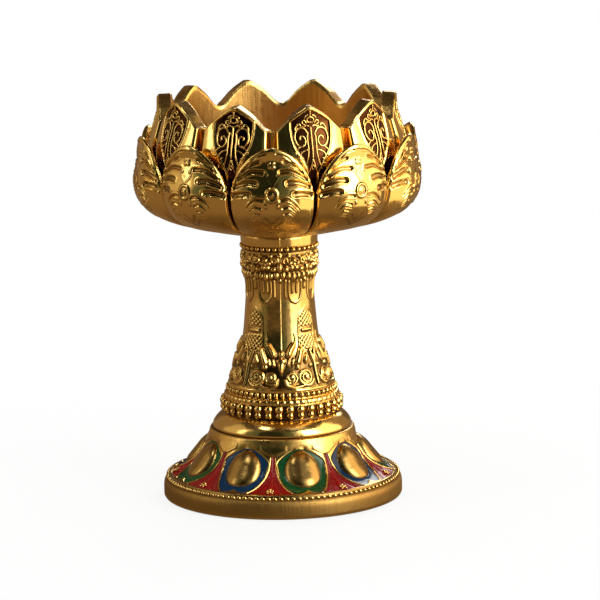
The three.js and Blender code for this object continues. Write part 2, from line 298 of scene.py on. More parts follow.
def add_turned(shape, rows, tones):
    """A closed skin over rows of points that each go once around. A row of one point is a pole."""
    around = max(len(row) for row in rows)
    starts = np.concatenate([[0], np.cumsum([len(row) for row in rows])])
    here = np.arange(around)
    after = (here + 1) % around
    quads = []
    poles = []
    for i in range(len(rows) - 1):
        a = starts[i]
        b = starts[i + 1]
        if len(rows[i]) == 1:
            poles.append(np.stack([np.full(around, a), b + after, b + here], 1))
        elif len(rows[i + 1]) == 1:
            poles.append(np.stack([a + here, a + after, np.full(around, b)], 1))
        else:
            quads.append(np.stack([a + here, a + after, b + after, b + here], 1))
    faces = [np.vstack(group) for group in (quads, poles) if group]
    shape.add(np.vstack(rows), faces, *spread(rows, tones))


def add_ring(shape, rows, tones):
    """A closed skin whose last row joins its first, for a piece with a hole along the axis."""
    count = len(rows)
    around = len(rows[0])
    faces = grid_faces(count + 1, around, closed=True) % (count * around)
    shape.add(np.vstack(rows), [faces], *spread(rows, tones))


WIRE_SIDES = 8


def add_tube(shape, line, outward, radius):
    """A round wire along a line of points, closed at both ends."""
    along = np.gradient(line, axis=0)
    along /= np.linalg.norm(along, axis=1)[:, None]
    side = np.cross(along, outward)
    side /= np.linalg.norm(side, axis=1)[:, None]
    up = np.cross(side, along)
    turn = np.radians(np.arange(WIRE_SIDES) * 360 / WIRE_SIDES)
    ring = side[:, None] * np.cos(turn)[:, None] + up[:, None] * np.sin(turn)[:, None]
    rows = list(line[:, None] + ring * np.reshape(radius, (-1, 1, 1)))
    first = line[:1] - along[:1] * radius[0] * 0.7
    last = line[-1:] + along[-1:] * radius[-1] * 0.7
    rows = [first] + rows + [last]
    add_turned(shape, [row.reshape(-1, 3) for row in rows], [(0.0, 0.0)] * len(rows))


def add_bead(shape, centre, axes, around=10, rows=6):
    """A closed bead: centre, and its three half-axes as the rows of a matrix, the last one being its pole."""
    lines = []
    for i in range(rows + 1):
        tilt = math.pi * (i / rows - 0.5)
        turn = np.radians(np.arange(around) * 360 / around)
        ring = np.stack([np.cos(turn), np.sin(turn)], 1) * math.cos(tilt)
        local = np.column_stack([ring, np.full(around, math.sin(tilt))])
        if i in (0, rows):
            local = local[:1] * [0, 0, 1]
        lines.append(centre + local @ axes)
    add_turned(shape, lines, [(0.0, 0.0)] * len(lines))


# Materials
def new_material(name):
    material = bpy.data.materials.new(name)
    material.use_nodes = True
    tree = material.node_tree
    shader = tree.nodes["Principled BSDF"]
    return material, tree, shader


def fill_in(tree, node, inputs):
    """Sets each input of a node to a value, or links it to another node's output."""
    for key, value in inputs.items():
        if isinstance(value, bpy.types.NodeSocket):
            tree.links.new(value, node.inputs[key])
        else:
            node.inputs[key].default_value = value


def add_node(tree, kind, inputs=None, **settings):
    node = tree.nodes.new(kind)
    for key, value in settings.items():
        setattr(node, key, value)
    fill_in(tree, node, inputs or {})
    return node


def stretched(tree, scale):
    """Object coordinates in metres, scaled along each axis."""
    where = add_node(tree, "ShaderNodeTexCoord")
    return add_node(tree, "ShaderNodeMapping", {"Vector": where.outputs["Object"], "Scale": scale}).outputs[0]


def noise(tree, place, scale, detail=2.0):
    inputs = {"Vector": place, "Scale": scale, "Detail": detail}
    return add_node(tree, "ShaderNodeTexNoise", inputs).outputs["Fac"]


def between(tree, value, low, high, new_low, new_high):
    """The value, carried from one range to another and clamped."""
    inputs = {"Value": value, "From Min": low, "From Max": high, "To Min": new_low, "To Max": new_high}
    return add_node(tree, "ShaderNodeMapRange", inputs).outputs["Result"]


def mixed(tree, factor, first, second):
    inputs = {0: factor, 6: first, 7: second}
    return add_node(tree, "ShaderNodeMix", inputs, data_type="RGBA").outputs[2]


def combined(tree, operation, first, second):
    return add_node(tree, "ShaderNodeMath", {0: first, 1: second}, operation=operation).outputs[0]


def attribute(tree, name):
    return add_node(tree, "ShaderNodeAttribute", attribute_name=name).outputs["Fac"]


def bumped(tree, height, strength, distance):
    inputs = {"Height": height, "Strength": strength, "Distance": distance}
    return add_node(tree, "ShaderNodeBump", inputs).outputs[0]


BRUSHED = (1500, 1500, 45)
# Colour of the painted shade in recesses and under parts
PAINTED_SHADE_BROWN = (0.055, 0.018, 0.005, 1)
# Browner colour of the brushed finish, which on the lower bowl and the rim is partly painted shade
SATIN_AND_SHADE_BROWN = (0.5, 0.26, 0.06, 1)


def gilt(name, bright, deep, roughness, satin_roughness):
    """Polished gilding, with painted shade in its recesses. The brushed tone roughens it and turns it
    browner, and that browner colour is partly painted shade.
    """
    material, tree, shader = new_material(name)
    place = stretched(tree, (1, 1, 1))
    dark = attribute(tree, "dark")
    satin_and_shade = attribute(tree, "satin_and_shade")
    cloud = between(tree, noise(tree, place, 90), 0.35, 0.7, 0, 0.35)
    base = mixed(tree, cloud, bright, deep)
    base = mixed(tree, combined(tree, "MULTIPLY", satin_and_shade, 0.55), base, SATIN_AND_SHADE_BROWN)
    grain = between(tree, noise(tree, place, 900, 3), 0.3, 0.7, -0.03, 0.05)
    rough = between(tree, satin_and_shade, 0, 1, roughness, satin_roughness)
    rough = combined(tree, "ADD", rough, combined(tree, "MULTIPLY", dark, 0.1))
    streak = combined(tree, "MULTIPLY", noise(tree, stretched(tree, BRUSHED), 1.0), satin_and_shade)
    swell = combined(tree, "MULTIPLY", noise(tree, place, 260), 0.9)
    fill_in(tree, shader, {
        "Base Color": mixed(tree, dark, base, PAINTED_SHADE_BROWN),
        "Metallic": 1.0,
        "Roughness": combined(tree, "ADD", rough, grain),
        "Normal": bumped(tree, combined(tree, "ADD", streak, swell), 0.4, 0.00018),
    })
    return material


def enamel(name, colour, shade):
    """Hard glossy enamel, deeper in colour where it pools against the gold, and darker where its dark tone
    paints shade in grooves.
    """
    material, tree, shader = new_material(name)
    place = stretched(tree, (1, 1, 1))
    pool = between(tree, noise(tree, place, 420), 0.45, 0.8, 0, 0.5)
    depth = combined(tree, "MAXIMUM", attribute(tree, "dark"), pool)
    fill_in(tree, shader, {
        "Base Color": mixed(tree, depth, colour, shade),
        "Roughness": between(tree, noise(tree, place, 1200), 0.3, 0.7, 0.16, 0.3),
        "Coat Weight": 0.12,
        "Coat Roughness": 0.06,
        "Specular IOR Level": 0.22,
        "Normal": bumped(tree, noise(tree, place, 500), 0.25, 0.0001),
    })
    return material


def steel(name):
    """Zinc-plated steel, with the fine turning marks and dull patches of plating."""
    material, tree, shader = new_material(name)
    patch = between(tree, noise(tree, stretched(tree, (1, 1, 1)), 300, 3), 0.35, 0.7, 0, 1)
    turning = noise(tree, stretched(tree, (200, 200, 4000)), 1.0, 1)
    fill_in(tree, shader, {
        "Base Color": mixed(tree, patch, (0.62, 0.63, 0.66, 1), (0.46, 0.47, 0.52, 1)),
        "Metallic": 1.0,
        "Roughness": between(tree, patch, 0, 1, 0.25, 0.42),
        "Normal": bumped(tree, turning, 0.3, 0.00005),
    })
    return material


polished = gilt("polished_gilt", (0.86, 0.58, 0.185, 1), (0.74, 0.44, 0.11, 1), 0.13, 0.34)
satin_gilt = gilt("satin_gilt", (0.74, 0.48, 0.14, 1), (0.6, 0.36, 0.09, 1), 0.17, 0.5)
blue_enamel = enamel("blue_enamel", (0.001, 0.026, 0.07, 1), (0.001, 0.009, 0.022, 1))
green_enamel = enamel("green_enamel", (0.003, 0.06, 0.012, 1), (0.001, 0.02, 0.005, 1))
red_enamel = enamel("red_enamel", (0.27, 0.006, 0.005, 1), (0.07, 0.002, 0.001, 1))
zinc_steel = steel("zinc_plated_steel")


# The cup: its outside below the crown, the crown of inner petals, and the inside
CROWN_SIDE = 18
CROWN_FINE = 10.5
INNER_RADIUS = 19.75
CUP_FLOOR = 55.2
CUP_BELOW = [(7.4, 51.2), (11.4, 52.3), (15.2, 53.4), (18.6, 54.45), (20.3, 56.2), (20.9, 58)]

# Outer radius at an inner petal's middle, by height
PLAQUE_RADIUS = [
    (58, 21.6), (61, 22.9), (64, 24.0), (66, 24.3), (68, 24.2), (69.5, 23.9), (71, 23.4), (72.5, 22.9),
    (74, 22.5), (77, 22.35),
]

# Share of that radius beyond the valley's, by angle from the petal's middle
FLANK = [
    (0, 1), (6, 0.985), (10, 0.955), (13, 0.92), (15, 0.88), (15.7, 0.8), (16.1, 0.52), (16.4, 0.18),
    (16.6, 0.05), (18, 0),
]

# Height of the crown's inner edge, by angle
RIM_EDGE = [
    (0, 76.97), (1.5, 76.9), (3.3, 76.5), (5.2, 76.05), (7.3, 75.5), (9.9, 74.7), (11.8, 73.95),
    (13.4, 73.3), (15, 72.75), (17, 72.45), (18, 72.4),
]

# How far below it the outer edge lies, and the band between them as (share of the way in, lift)
ARCH_DROP = 0.12
RIM_TOP = 76.98
RIM_INNER = INNER_RADIUS + 0.15
RIM_BAND = [
    (0.03, 0.03), (0.08, 0.05), (0.25, 0.05), (0.5, 0.05), (0.75, 0.05), (0.9, 0.05), (0.96, 0.03), (1, 0),
]
VALLEY_RADIUS = 20.3
VALLEY_FROM = 16.2

# Half-angle of the filigree field, whose ground is darkened with painted shade, by height
PLAQUE_HALF = [(65, 2), (66.5, 3.4), (67.7, 4.8), (69, 7.0), (70, 8.1), (71.5, 9.0), (73, 9.4), (77, 9.5)]
PLAQUE_BORDER = 0.62
PLAQUE_SUNK = 0.14
PLAQUE_EDGE = 0.16
HIDDEN_BELOW = 63.5
RIDGE_OUT = 0.17
RIDGE_HALF = 0.19
RIDGE_HEIGHT = 0.13
CROWN_ROWS = 71
CROWN_FIRST = 0.04
LIP_DROPS = np.array([1.1, 0.95, 0.85, 0.75, 0.65, 0.55, 0.45, 0.35, 0.25, 0.16, 0.08, 0.02, 0])
INNER_DROP = 0.12
INNER_TAPER = 0.3
FLOOR_FILLET = 1.6

# Filigree wires, right half, as points (from the middle, height) and the radius at the first and last
FILIGREE_MIDDLE = [
    ([(0, 73.3), (0, 71), (0, 67.2)], 0.2, 0.15),
    ([(0, 76.0), (0, 75.3), (0, 74.9)], 0.24, 0.16),
]
FILIGREE_HALF = [
    ([(0, 67.5), (0.35, 66.4), (0.75, 65.0)], 0.17, 0.12),
    ([(0.62, 72.3), (0.8, 71.2), (0.76, 69.6), (0.86, 68.2), (1.2, 66.9), (1.75, 65.5)], 0.19, 0.14),
    ([(0.7, 72.1), (1.25, 72.9), (2.1, 73.05), (2.85, 72.4), (3.1, 71.2), (2.7, 70.1), (1.95, 69.75),
      (1.35, 70.15), (1.2, 70.95), (1.6, 71.6), (2.15, 71.45), (2.15, 70.95)], 0.23, 0.19),
    ([(2.9, 72.5), (2.85, 73.1), (2.4, 73.65), (2.0, 73.7), (1.9, 73.35)], 0.19, 0.2),
    ([(0.0, 75.0), (0.5, 74.8), (0.62, 74.35), (0.3, 74.0), (0.0, 74.05)], 0.19, 0.16),
    ([(0.75, 73.9), (1.15, 74.4), (1.5, 74.25), (1.45, 73.8), (1.05, 73.6)], 0.19, 0.15),
    ([(0.3, 73.3), (0.75, 73.5), (1.2, 73.25), (1.6, 73.4)], 0.18, 0.14),
    ([(0.45, 75.35), (0.95, 75.05), (1.05, 74.75)], 0.17, 0.15),
    ([(0.95, 69.2), (1.6, 69.0), (2.25, 68.5), (2.45, 67.9), (2.15, 67.5), (1.8, 67.75)], 0.19, 0.17),
    ([(2.3, 69.7), (2.8, 69.3), (3.15, 68.8), (3.0, 68.4), (2.75, 68.5)], 0.17, 0.15),
    ([(1.5, 66.6), (2.05, 66.8), (2.5, 66.4), (2.45, 66.0)], 0.16, 0.13),
    ([(0, 66.45), (0.28, 66.0), (0, 65.55)], 0.14, 0.12),
]
WIRE_LIFT = -0.04
WIRE_SCALE = 0.85


def crown_radius(angle, height):
    """Radius of the crown's outer face at an angle from an inner petal's middle."""
    middle = table(PLAQUE_RADIUS, height)
    return VALLEY_RADIUS + (middle - VALLEY_RADIUS) * table(FLANK, np.abs(angle))


def crown_columns():
    """Angles from a petal's middle, closer together over the filigree and at the valley."""
    plaque = np.linspace(-CROWN_FINE, CROWN_FINE, 71)
    flank = [11.4, 12.4, 13.4, 14.3, 14.9, 15.3, 15.6, 15.9, 16.1, 16.3, 16.5, 16.8, 17.3, CROWN_SIDE]
    return np.concatenate([-np.array(flank[-2::-1]), plaque, flank])


def filigree_lines():
    """Every wire of one inner petal, on both sides of its middle."""
    lines = [(np.array(points), first, last) for points, first, last in FILIGREE_MIDDLE]
    for points, first, last in FILIGREE_HALF:
        for side in (1, -1):
            lines.append((np.array(points) * [side, 1], first, last))
    return lines


def add_crown_face(rows, tones, azimuths, folded, arch):
    """The outer face up to each petal's arch. A raised line borders its filigree field, whose sunk ground is
    darkened with painted shade.
    """
    lip = np.ones(len(LIP_DROPS))
    shares = np.concatenate([np.linspace(CROWN_FIRST, 1, CROWN_ROWS + 1)[:-1], lip])
    drops = np.concatenate([np.full(CROWN_ROWS, LIP_DROPS[0]), LIP_DROPS])
    start = CUP_BELOW[-1][1]
    heights = start + (arch - drops[:, None] - start) * shares[:, None]
    angle = np.broadcast_to(np.abs(folded), heights.shape)
    radius = crown_radius(angle, heights)
    edge = arch - heights
    inside = np.radians(table(PLAQUE_HALF, heights) - angle) * radius
    inside = np.minimum(inside, edge - PLAQUE_BORDER)
    ridge = RIDGE_HEIGHT * hump(inside, -RIDGE_OUT, RIDGE_HALF)
    roll = 0.2 * np.clip(1 - edge / 0.22, 0, 1) ** 2
    ground = ease(inside / PLAQUE_EDGE)
    radius = radius + ridge - roll - PLAQUE_SUNK * ground
    # Painted shade: the sunk ground of the filigree field, and the face hidden behind the outer petals
    hidden = ease((HIDDEN_BELOW - heights) / 1.5)
    dark = np.maximum(ground, 0.75 * hidden)
    valley = 0.7 * ease((np.abs(folded) - VALLEY_FROM) / 0.4)
    for line, height, tone in zip(radius, heights, dark):
        rows.append(on_axis(line, azimuths, height))
        tones.append((tone, valley))
    return radius[-1]


def add_rim_band(rows, tones, azimuths, outer_radius, arch, rim):
    """The band on top, from the arch in to the edge of the inside wall."""
    for share, lift in RIM_BAND:
        line = outer_radius + (RIM_INNER - outer_radius) * share
        lift = np.minimum(lift, RIM_TOP - rim)
        rows.append(on_axis(line, azimuths, arch + (rim - arch) * share + lift))
        # The band is darkened a little with painted shade
        tones.append((0.3, 0.5))


def add_cup_inside(rows, tones, azimuths, rim):
    """The inside wall, the fillet at its foot, and the floor."""
    wall_top = rim - INNER_DROP
    wall_foot = CUP_FLOOR + FLOOR_FILLET
    rows.append(on_axis(INNER_RADIUS, azimuths, wall_top))
    tones.append((0.0, 0.6))
    for share in np.linspace(0, 1, 24)[1:]:
        height = wall_top + (wall_foot - wall_top) * share
        rows.append(on_axis(INNER_RADIUS - INNER_TAPER * share, azimuths, height))
        tones.append((0.0, 1.0))
    # Painted shade in the fillet and on the floor
    for turn in np.radians([15, 30, 45, 60, 75, 90]):
        radius = INNER_RADIUS - INNER_TAPER - FLOOR_FILLET * (1 - math.cos(turn))
        rows.append(on_axis(radius, azimuths, CUP_FLOOR + FLOOR_FILLET * (1 - math.sin(turn))))
        tones.append((0.15, 1.0))
    for radius in (14, 9, 4):
        rows.append(on_axis(radius, azimuths, CUP_FLOOR))
        tones.append((0.1, 1.0))
    rows.append(np.array([[0, 0, CUP_FLOOR]]))
    tones.append((0.1, 1.0))


def candle_cup():
    angles = crown_columns()
    azimuths = np.concatenate([(petal + 0.5) * PITCH + angles for petal in range(PETALS)])
    folded = np.tile(angles, PETALS)
    rim = table(RIM_EDGE, np.abs(folded))
    arch = rim - ARCH_DROP
    rows = [np.array([[0, 0, CUP_BELOW[0][1]]])]
    # The pole and the underside below the outer petals are darkened with painted shade
    tones = [(0.3, 0.3)]
    for radius, height in rounded(CUP_BELOW, 1.6):
        rows.append(on_axis(radius, azimuths, height))
        tones.append((0.35, 0.3))
    outer_radius = add_crown_face(rows, tones, azimuths, folded, arch)
    add_rim_band(rows, tones, azimuths, outer_radius, arch, rim)
    add_cup_inside(rows, tones, azimuths, rim)
    shape = Shape()
    add_turned(shape, rows, tones)
    shape.made("candle_cup_body", polished, "polished_gold", "candle_cup")


def crown_filigree():
    """The raised wires on the ten inner petals."""
    shape = Shape()
    for petal in range(PETALS):
        middle = (petal + 0.5) * PITCH
        for points, first, last in filigree_lines():
            line = smooth_line(points, max(6, 4 * len(points)))
            radius = table(PLAQUE_RADIUS, line[:, 1])
            angle = np.degrees(line[:, 0] / radius)
            radius = crown_radius(angle, line[:, 1])
            centre = on_axis(radius + WIRE_LIFT, middle + angle, line[:, 1])
            outward = on_axis(np.ones(len(line)), middle + angle, 0)
            add_tube(shape, centre, outward, WIRE_SCALE * np.linspace(first, last, len(line)))
    shape.made("crown_filigree", polished, "polished_gold")


# The outer petals: the middle line as (radius, height), how far it bulges and the half-angle by height
PETAL_PATH = [
    (5.6, 50.6), (7.4, 50.6), (11.5, 51.3), (15.6, 52.25), (20.4, 53.55), (23.9, 55.55), (25.9, 58.25),
    (26.5, 61.5), (26.15, 64.8), (26.0, 67.2), (26.4, 69.1), (26.65, 70.0),
]
PETAL_BULGE = [
    (50, 0), (50.9, 0.1), (52, 0.2), (53.4, 0.5), (55.5, 0.85), (58.3, 1.0), (61.5, 1.05), (64.8, 0.75),
    (67.2, 0.4), (69.1, 0.12), (70, 0),
]
PETAL_HALF = [(50, 17.87), (60, 17.87), (61.5, 17.8), (63, 17.7), (70.2, 17.5)]
ARCH_BASE = 61.5
ARCH_TOP = 69.97
ARCH_HALF = 17.5
ARCH_POWER = 1.65
PETAL_THICKNESS = 1.15
EDGE_ROLL = 1.0
PETAL_RIM = 0.4
BELLY = (52, 67.5, 4.5)
CHASED_FROM = 52.5

# Border lines as distance from the outline, half-width, rise and the height where they end
PETAL_LINES = [(0.62, 0.22, 0.16, 75), (1.15, 0.16, 0.07, 59)]
SEAM_HALF = 0.2
SEAM_DARK = 0.25
GROOVE_GAP = 0.8
GROOVE_HALF = 0.16
GROOVE_DARK = 0.5
GROOVE_FROM = 60
SATIN_AND_SHADE_BELOW = 59.5
ROOT_RADIUS = 7.4
ROOT_THICKNESS = 0.58

# Scooped leaves, right half, as points, half-width at the first and last of them, and depth
PETAL_FINGERS = [
    ([(0.9, 69.05), (2.8, 68.35), (5.2, 66.1)], 0.27, 0.2, 0.25),
    ([(2.3, 67.55), (4.0, 66.85), (6.1, 65.1)], 0.4, 0.3, 0.34),
    ([(1.6, 65.7), (3.9, 65.65), (7.0, 63.8)], 0.5, 0.42, 0.42),
    ([(3.0, 63.65), (4.9, 63.7), (7.7, 62.5)], 0.65, 0.5, 0.48),
    ([(4.3, 61.6), (5.8, 61.6), (7.8, 61.0)], 0.7, 0.55, 0.52),
    ([(1.6, 60.65), (2.9, 60.75), (4.1, 59.9), (5.0, 58.6)], 0.42, 0.15, 0.3),
    ([(2.0, 59.1), (3.2, 59.3), (4.4, 58.1)], 0.32, 0.12, 0.24),
    ([(2.2, 57.95), (3.2, 58.1), (4.1, 57.2)], 0.26, 0.1, 0.18),
    ([(2.5, 56.95), (3.3, 57.05), (3.9, 56.4)], 0.2, 0.08, 0.12),
]
PETAL_COLUMNS = 105
PETAL_ROWS = 180
SPARSE_SHARE = 0.22
SPARSE_GAIN = 2.2
PETAL_STEP = 4


def arch_height(angle):
    """Height at which a petal ends, at an angle from its middle."""
    share = np.clip(np.abs(angle) / ARCH_HALF, 0, 1)
    return ARCH_BASE + (ARCH_TOP - ARCH_BASE) * (1 - share**ARCH_POWER) ** (1 / ARCH_POWER)


def arch_gap(angle, radius, height):
    """Distance in mm from a point on a petal to the petal's outline."""
    half = table(PETAL_HALF, height)
    side = np.radians(half - np.abs(angle)) * radius
    share = np.clip(np.abs(angle) / ARCH_HALF, 1e-4, 1)
    rise = np.clip((height - ARCH_BASE) / (ARCH_TOP - ARCH_BASE), 1e-4, 1)
    level = 1 - share**ARCH_POWER - rise**ARCH_POWER
    slope_side = ARCH_POWER * share ** (ARCH_POWER - 1) / (math.radians(ARCH_HALF) * radius)
    slope_rise = ARCH_POWER * rise ** (ARCH_POWER - 1) / (ARCH_TOP - ARCH_BASE)
    over = level / np.maximum(np.hypot(slope_side, slope_rise), 1e-3)
    return np.maximum(np.where(height > ARCH_BASE, np.minimum(over, side), side), 0)


def petal_relief(angle, radius, height):
    """The chased leaves, florets and scrolls of one outer petal."""
    field = Relief(np.radians(angle) * radius, height)
    for points, first, last, depth in PETAL_FINGERS:
        for side in (1, -1):
            field.scoop(np.array(points) * [side, 1], first, last, depth)
    for turn in range(4):
        lobe = math.radians(45 + 90 * turn)
        field.bump((0.48 * math.cos(lobe), 66.9 + 0.48 * math.sin(lobe)), (0.3, 0.3), 0.2)
    field.bump((0, 66.9), (0.2, 0.2), 0.22)
    ring = [(1.05 * math.sin(t), 61.6 + 1.2 * math.cos(t)) for t in np.linspace(0, 2 * math.pi, 17)]
    field.wire(ring, 0.26, 0.24, trench=0.3)
    field.bump((0, 61.6), (0.4, 0.5), 0.12)
    for side in (1, -1):
        field.bump((1.1 * side, 59.5), (0.26, 0.42), 0.18)
        field.bump((0.85 * side, 65.2), (0.2, 0.3), 0.14)
        field.wire([(0.3 * side, 63.4), (0.9 * side, 64.2), (1.2 * side, 64.9)], 0.15, 0.08, 0.6, 0.1)
        field.wire([(0, 55.8), (0.7 * side, 56.6), (1.2 * side, 57.2)], 0.16, 0.07, 0.6, 0.1)
        field.wire([(0.2 * side, 54.9), (1.1 * side, 55.7), (1.8 * side, 56.2)], 0.16, 0.06, 0.6, 0.1)
    return field


def petal_grid():
    """Angle, radius, height and distance to the outline over the front petal, before its chasing."""
    across = np.linspace(-1, 1, PETAL_COLUMNS)
    across = np.sign(across) * (1 - (1 - np.abs(across)) ** 1.15)
    path = smooth_line(PETAL_PATH, 400)
    run = np.linspace(0, 1, len(path))
    ends = np.interp(arch_height(across * ARCH_HALF), path[:, 1], run)
    rows = np.linspace(0, 1, PETAL_ROWS)
    up = np.interp(rows, [0, SPARSE_SHARE, 1], [0, SPARSE_SHARE * SPARSE_GAIN, 1])
    up = up[:, None] * ends[None, :]
    radius = np.interp(up, run, path[:, 0])
    height = np.interp(up, run, path[:, 1])
    half = table(PETAL_HALF, height)
    angle = across[None, :] * half
    gap = arch_gap(angle, radius, height)
    share = np.abs(angle) / half
    radius = radius + table(PETAL_BULGE, height) * (1 - share**2)
    radius = radius - EDGE_ROLL * span(height, *BELLY) * share**5
    return angle, radius, height, gap


def petal_thickness(radius, gap):
    """Thinner at the rounded edge and at the clamped root."""
    at_edge = 0.75 + 0.5 * gap
    at_root = ROOT_THICKNESS + 0.15 * np.maximum(radius - ROOT_RADIUS, 0)
    return np.minimum(np.minimum(PETAL_THICKNESS, at_edge), at_root)


def petal_surfaces():
    """Outer and inner grids of the petal at the front, with the tones of the outer one."""
    angle, radius, height, gap = petal_grid()
    base = on_axis(radius, angle, height)
    field = petal_relief(angle, radius, height)
    inside = ease((gap - 0.35) / 0.3)
    within = np.clip(PETAL_RIM - gap, 0, PETAL_RIM)
    turn_in = PETAL_RIM - np.sqrt(np.clip(PETAL_RIM**2 - within**2, 0, None))
    amount = (field.cut + field.rise) * inside - turn_in
    for middle, half, rise, top in PETAL_LINES:
        line = rise * hump(gap, middle, half)
        amount = amount + line * ease((height - CHASED_FROM) / 4) * ease((top - height) / 2)
    normal = np.cross(np.gradient(base, axis=1), np.gradient(base, axis=0))
    normal /= np.maximum(np.linalg.norm(normal, axis=2), 1e-9)[:, :, None]
    outer = base + normal * amount[:, :, None]
    inner = base - normal * petal_thickness(radius, gap)[:, :, None]

    # Painted shade along the outline where petals meet, in the groove inside the border line, and in the
    # chasing's recesses
    seam = SEAM_DARK * peak(gap, 0, SEAM_HALF) * ease((64 - height) / 2)
    groove = GROOVE_DARK * peak(gap, GROOVE_GAP, GROOVE_HALF) * ease((height - GROOVE_FROM) / 3)
    dark = np.clip(np.maximum(field.darkness() * inside, groove) + seam, 0, 1)
    # The lower bowl takes the brushed tone, whose browner colour is partly painted shade
    satin_and_shade = 0.75 * ease((SATIN_AND_SHADE_BELOW - height) / 3.5)
    return outer, inner, dark, satin_and_shade


def turned_about_axis(points, azimuth):
    turn = math.radians(azimuth)
    spin = np.array([[math.cos(turn), math.sin(turn), 0], [-math.sin(turn), math.cos(turn), 0], [0, 0, 1]])
    return points @ spin


def outer_petals():
    outer, inner, dark, satin_and_shade = petal_surfaces()
    for petal in range(PETALS):
        azimuth = petal * PITCH
        shape = Shape()
        turned = [turned_about_axis(grid, azimuth) for grid in (outer, inner)]
        add_shell(shape, turned[0], turned[1], PETAL_STEP, dark, satin_and_shade)
        label = f"{petal + 1:02d}"
        shape.made(f"petal_{label}", polished, "polished_gold", f"outer_petal_{label}")


# The stem: its outside from the flange up and its hollow, as (radius, height)
STEM_OUTSIDE = [
    (13.2, 13.43), (13.22, 13.9), (12.9, 14.65), (12.35, 15.3), (11.8, 15.8), (11.35, 16.1),
    (11.05, 16.25), (11.0, 16.5), (11.0, 18.9), (10.9, 19.2), (10.85, 19.4), (10.7, 20.0), (10.2, 20.2),
    (10.15, 21.5), (10.05, 21.8), (9.75, 22.3), (9.5, 22.9), (8.95, 24.6), (8.6, 26.4), (8.0, 28.3),
    (7.3, 29.8), (6.95, 31.8), (6.6, 36), (6.35, 39), (6.35, 41.2), (6.75, 43), (7.0, 45), (6.95, 47.3),
    (7.05, 47.6), (7.05, 48.5), (7.2, 48.7), (7.22, 50.4), (7.1, 50.52),
]
STEM_HOLLOW = [(3.7, 50.52), (3.7, 38), (4.2, 32), (5.4, 26), (6.6, 21), (8.45, 16), (8.45, 13.43)]
STEM_COLUMNS = 400
STEM_SPACING = 0.185
STEM_TURN = 2.5

# Heights between which the ground behind the beads is darkened with painted shade
BEAD_GROUNDS = [(16.15, 19.1), (20.25, 21.5), (47.5, 48.6)]
LEAF_ROW = (19.3, 20.15)
LEAF_ROW_COUNT = 52
BORDER_HEIGHT = 21.85
SEAM_FOOT = 28.9
COLLAR_FOOT = 48.6

# Rows of beads as name, count, radius, height, and half-axes along the ring, outward and up
BEAD_ROWS = [
    ("collar_beads", 38, 7.1, 48.15, 0.46, 0.44, 0.46),
    ("waist_beads", 52, 10.2, 20.87, 0.44, 0.46, 0.63),
]

# The two parts of a flange bead as radius, height and the same half-axes
FLANGE_BEADS = [(11.14, 18.35, (0.8, 0.64, 0.84)), (11.12, 17.25, (0.66, 0.62, 0.68))]
FLANGE_BEAD_COUNT = 34


def folded_to(azimuth, count, middle):
    """Angle from the nearest of count middles spaced evenly around."""
    pitch = 360 / count
    return (azimuth - middle + pitch / 2) % pitch - pitch / 2


def spiral(centre, start_radius, end_radius, start, turns, side):
    """Points of a scroll from its outer end inwards."""
    steps = int(14 * turns) + 2
    turn = start + np.linspace(0, turns * 2 * math.pi, steps) * side
    radius = np.linspace(start_radius, end_radius, steps)
    return np.stack([centre[0] + radius * np.cos(turn), centre[1] + radius * np.sin(turn)], 1)


def from_seam(azimuth, radius, count=4, turn=0):
    """Distance around from the nearest seam, on either side of it, or from the nearest of count lines."""
    return np.abs(np.radians(folded_to(azimuth, count, STEM_TURN + turn)) * radius)


def stem_top_band(azimuth, height):
    """Rosettes, scrolls and hanging lobes between the collar and the fringe."""
    field = Relief(from_seam(azimuth, 7.05, count=8), height)
    rosette = (2.77, 45.3)
    for turn in range(5):
        lobe = math.radians(90 + 72 * turn)
        centre = (rosette[0] + 0.78 * math.cos(lobe), rosette[1] + 0.78 * math.sin(lobe))
        field.bump(centre, (0.46, 0.46), 0.5)
    field.wire(spiral((0.95, 46.0), 0.75, 0.2, math.radians(200), 1.3, -1), 0.28, 0.45, 0.9, 0.3)
    for centre, size, rise in (
        (rosette, (0.3, 0.3), 0.5), ((0, 44.6), (0.5, 0.85), 0.55), ((1.2, 44.4), (0.62, 0.5), 0.5),
        ((0, 46.9), (0.42, 0.38), 0.4), ((1.75, 46.9), (0.4, 0.36), 0.36), ((0.65, 43.1), (0.5, 0.7), 0.5),
        ((1.75, 43.0), (0.48, 0.62), 0.45), ((2.77, 42.8), (0.5, 0.8), 0.5), ((0, 42.2), (0.4, 0.45), 0.36),
    ):
        field.bump(centre, size, rise)
    field.shade(0.9 * span(height, 42, 47.4, 0.6, 0.4))
    return field


def stem_fringe(azimuth, height):
    """Hanging strips below the band, and a wide loop that frames each group of them."""
    field = Relief(from_seam(azimuth, 6.5), height)
    for middle, low in ((1.05, 39.0), (2.43, 39.9), (3.26, 39.9), (4.95, 40.6)):
        field.wire([(middle, 42.2), (middle, 41), (middle, low)], 0.27, 0.26, 0.8, 0.2)
    loop = [(1.72, 42), (1.72, 39.8), (2.1, 38.5), (2.98, 37.95), (3.86, 38.5), (4.24, 39.8), (4.24, 42)]
    field.wire(loop, 0.2, 0.24, trench=0.22, count=40)
    return field


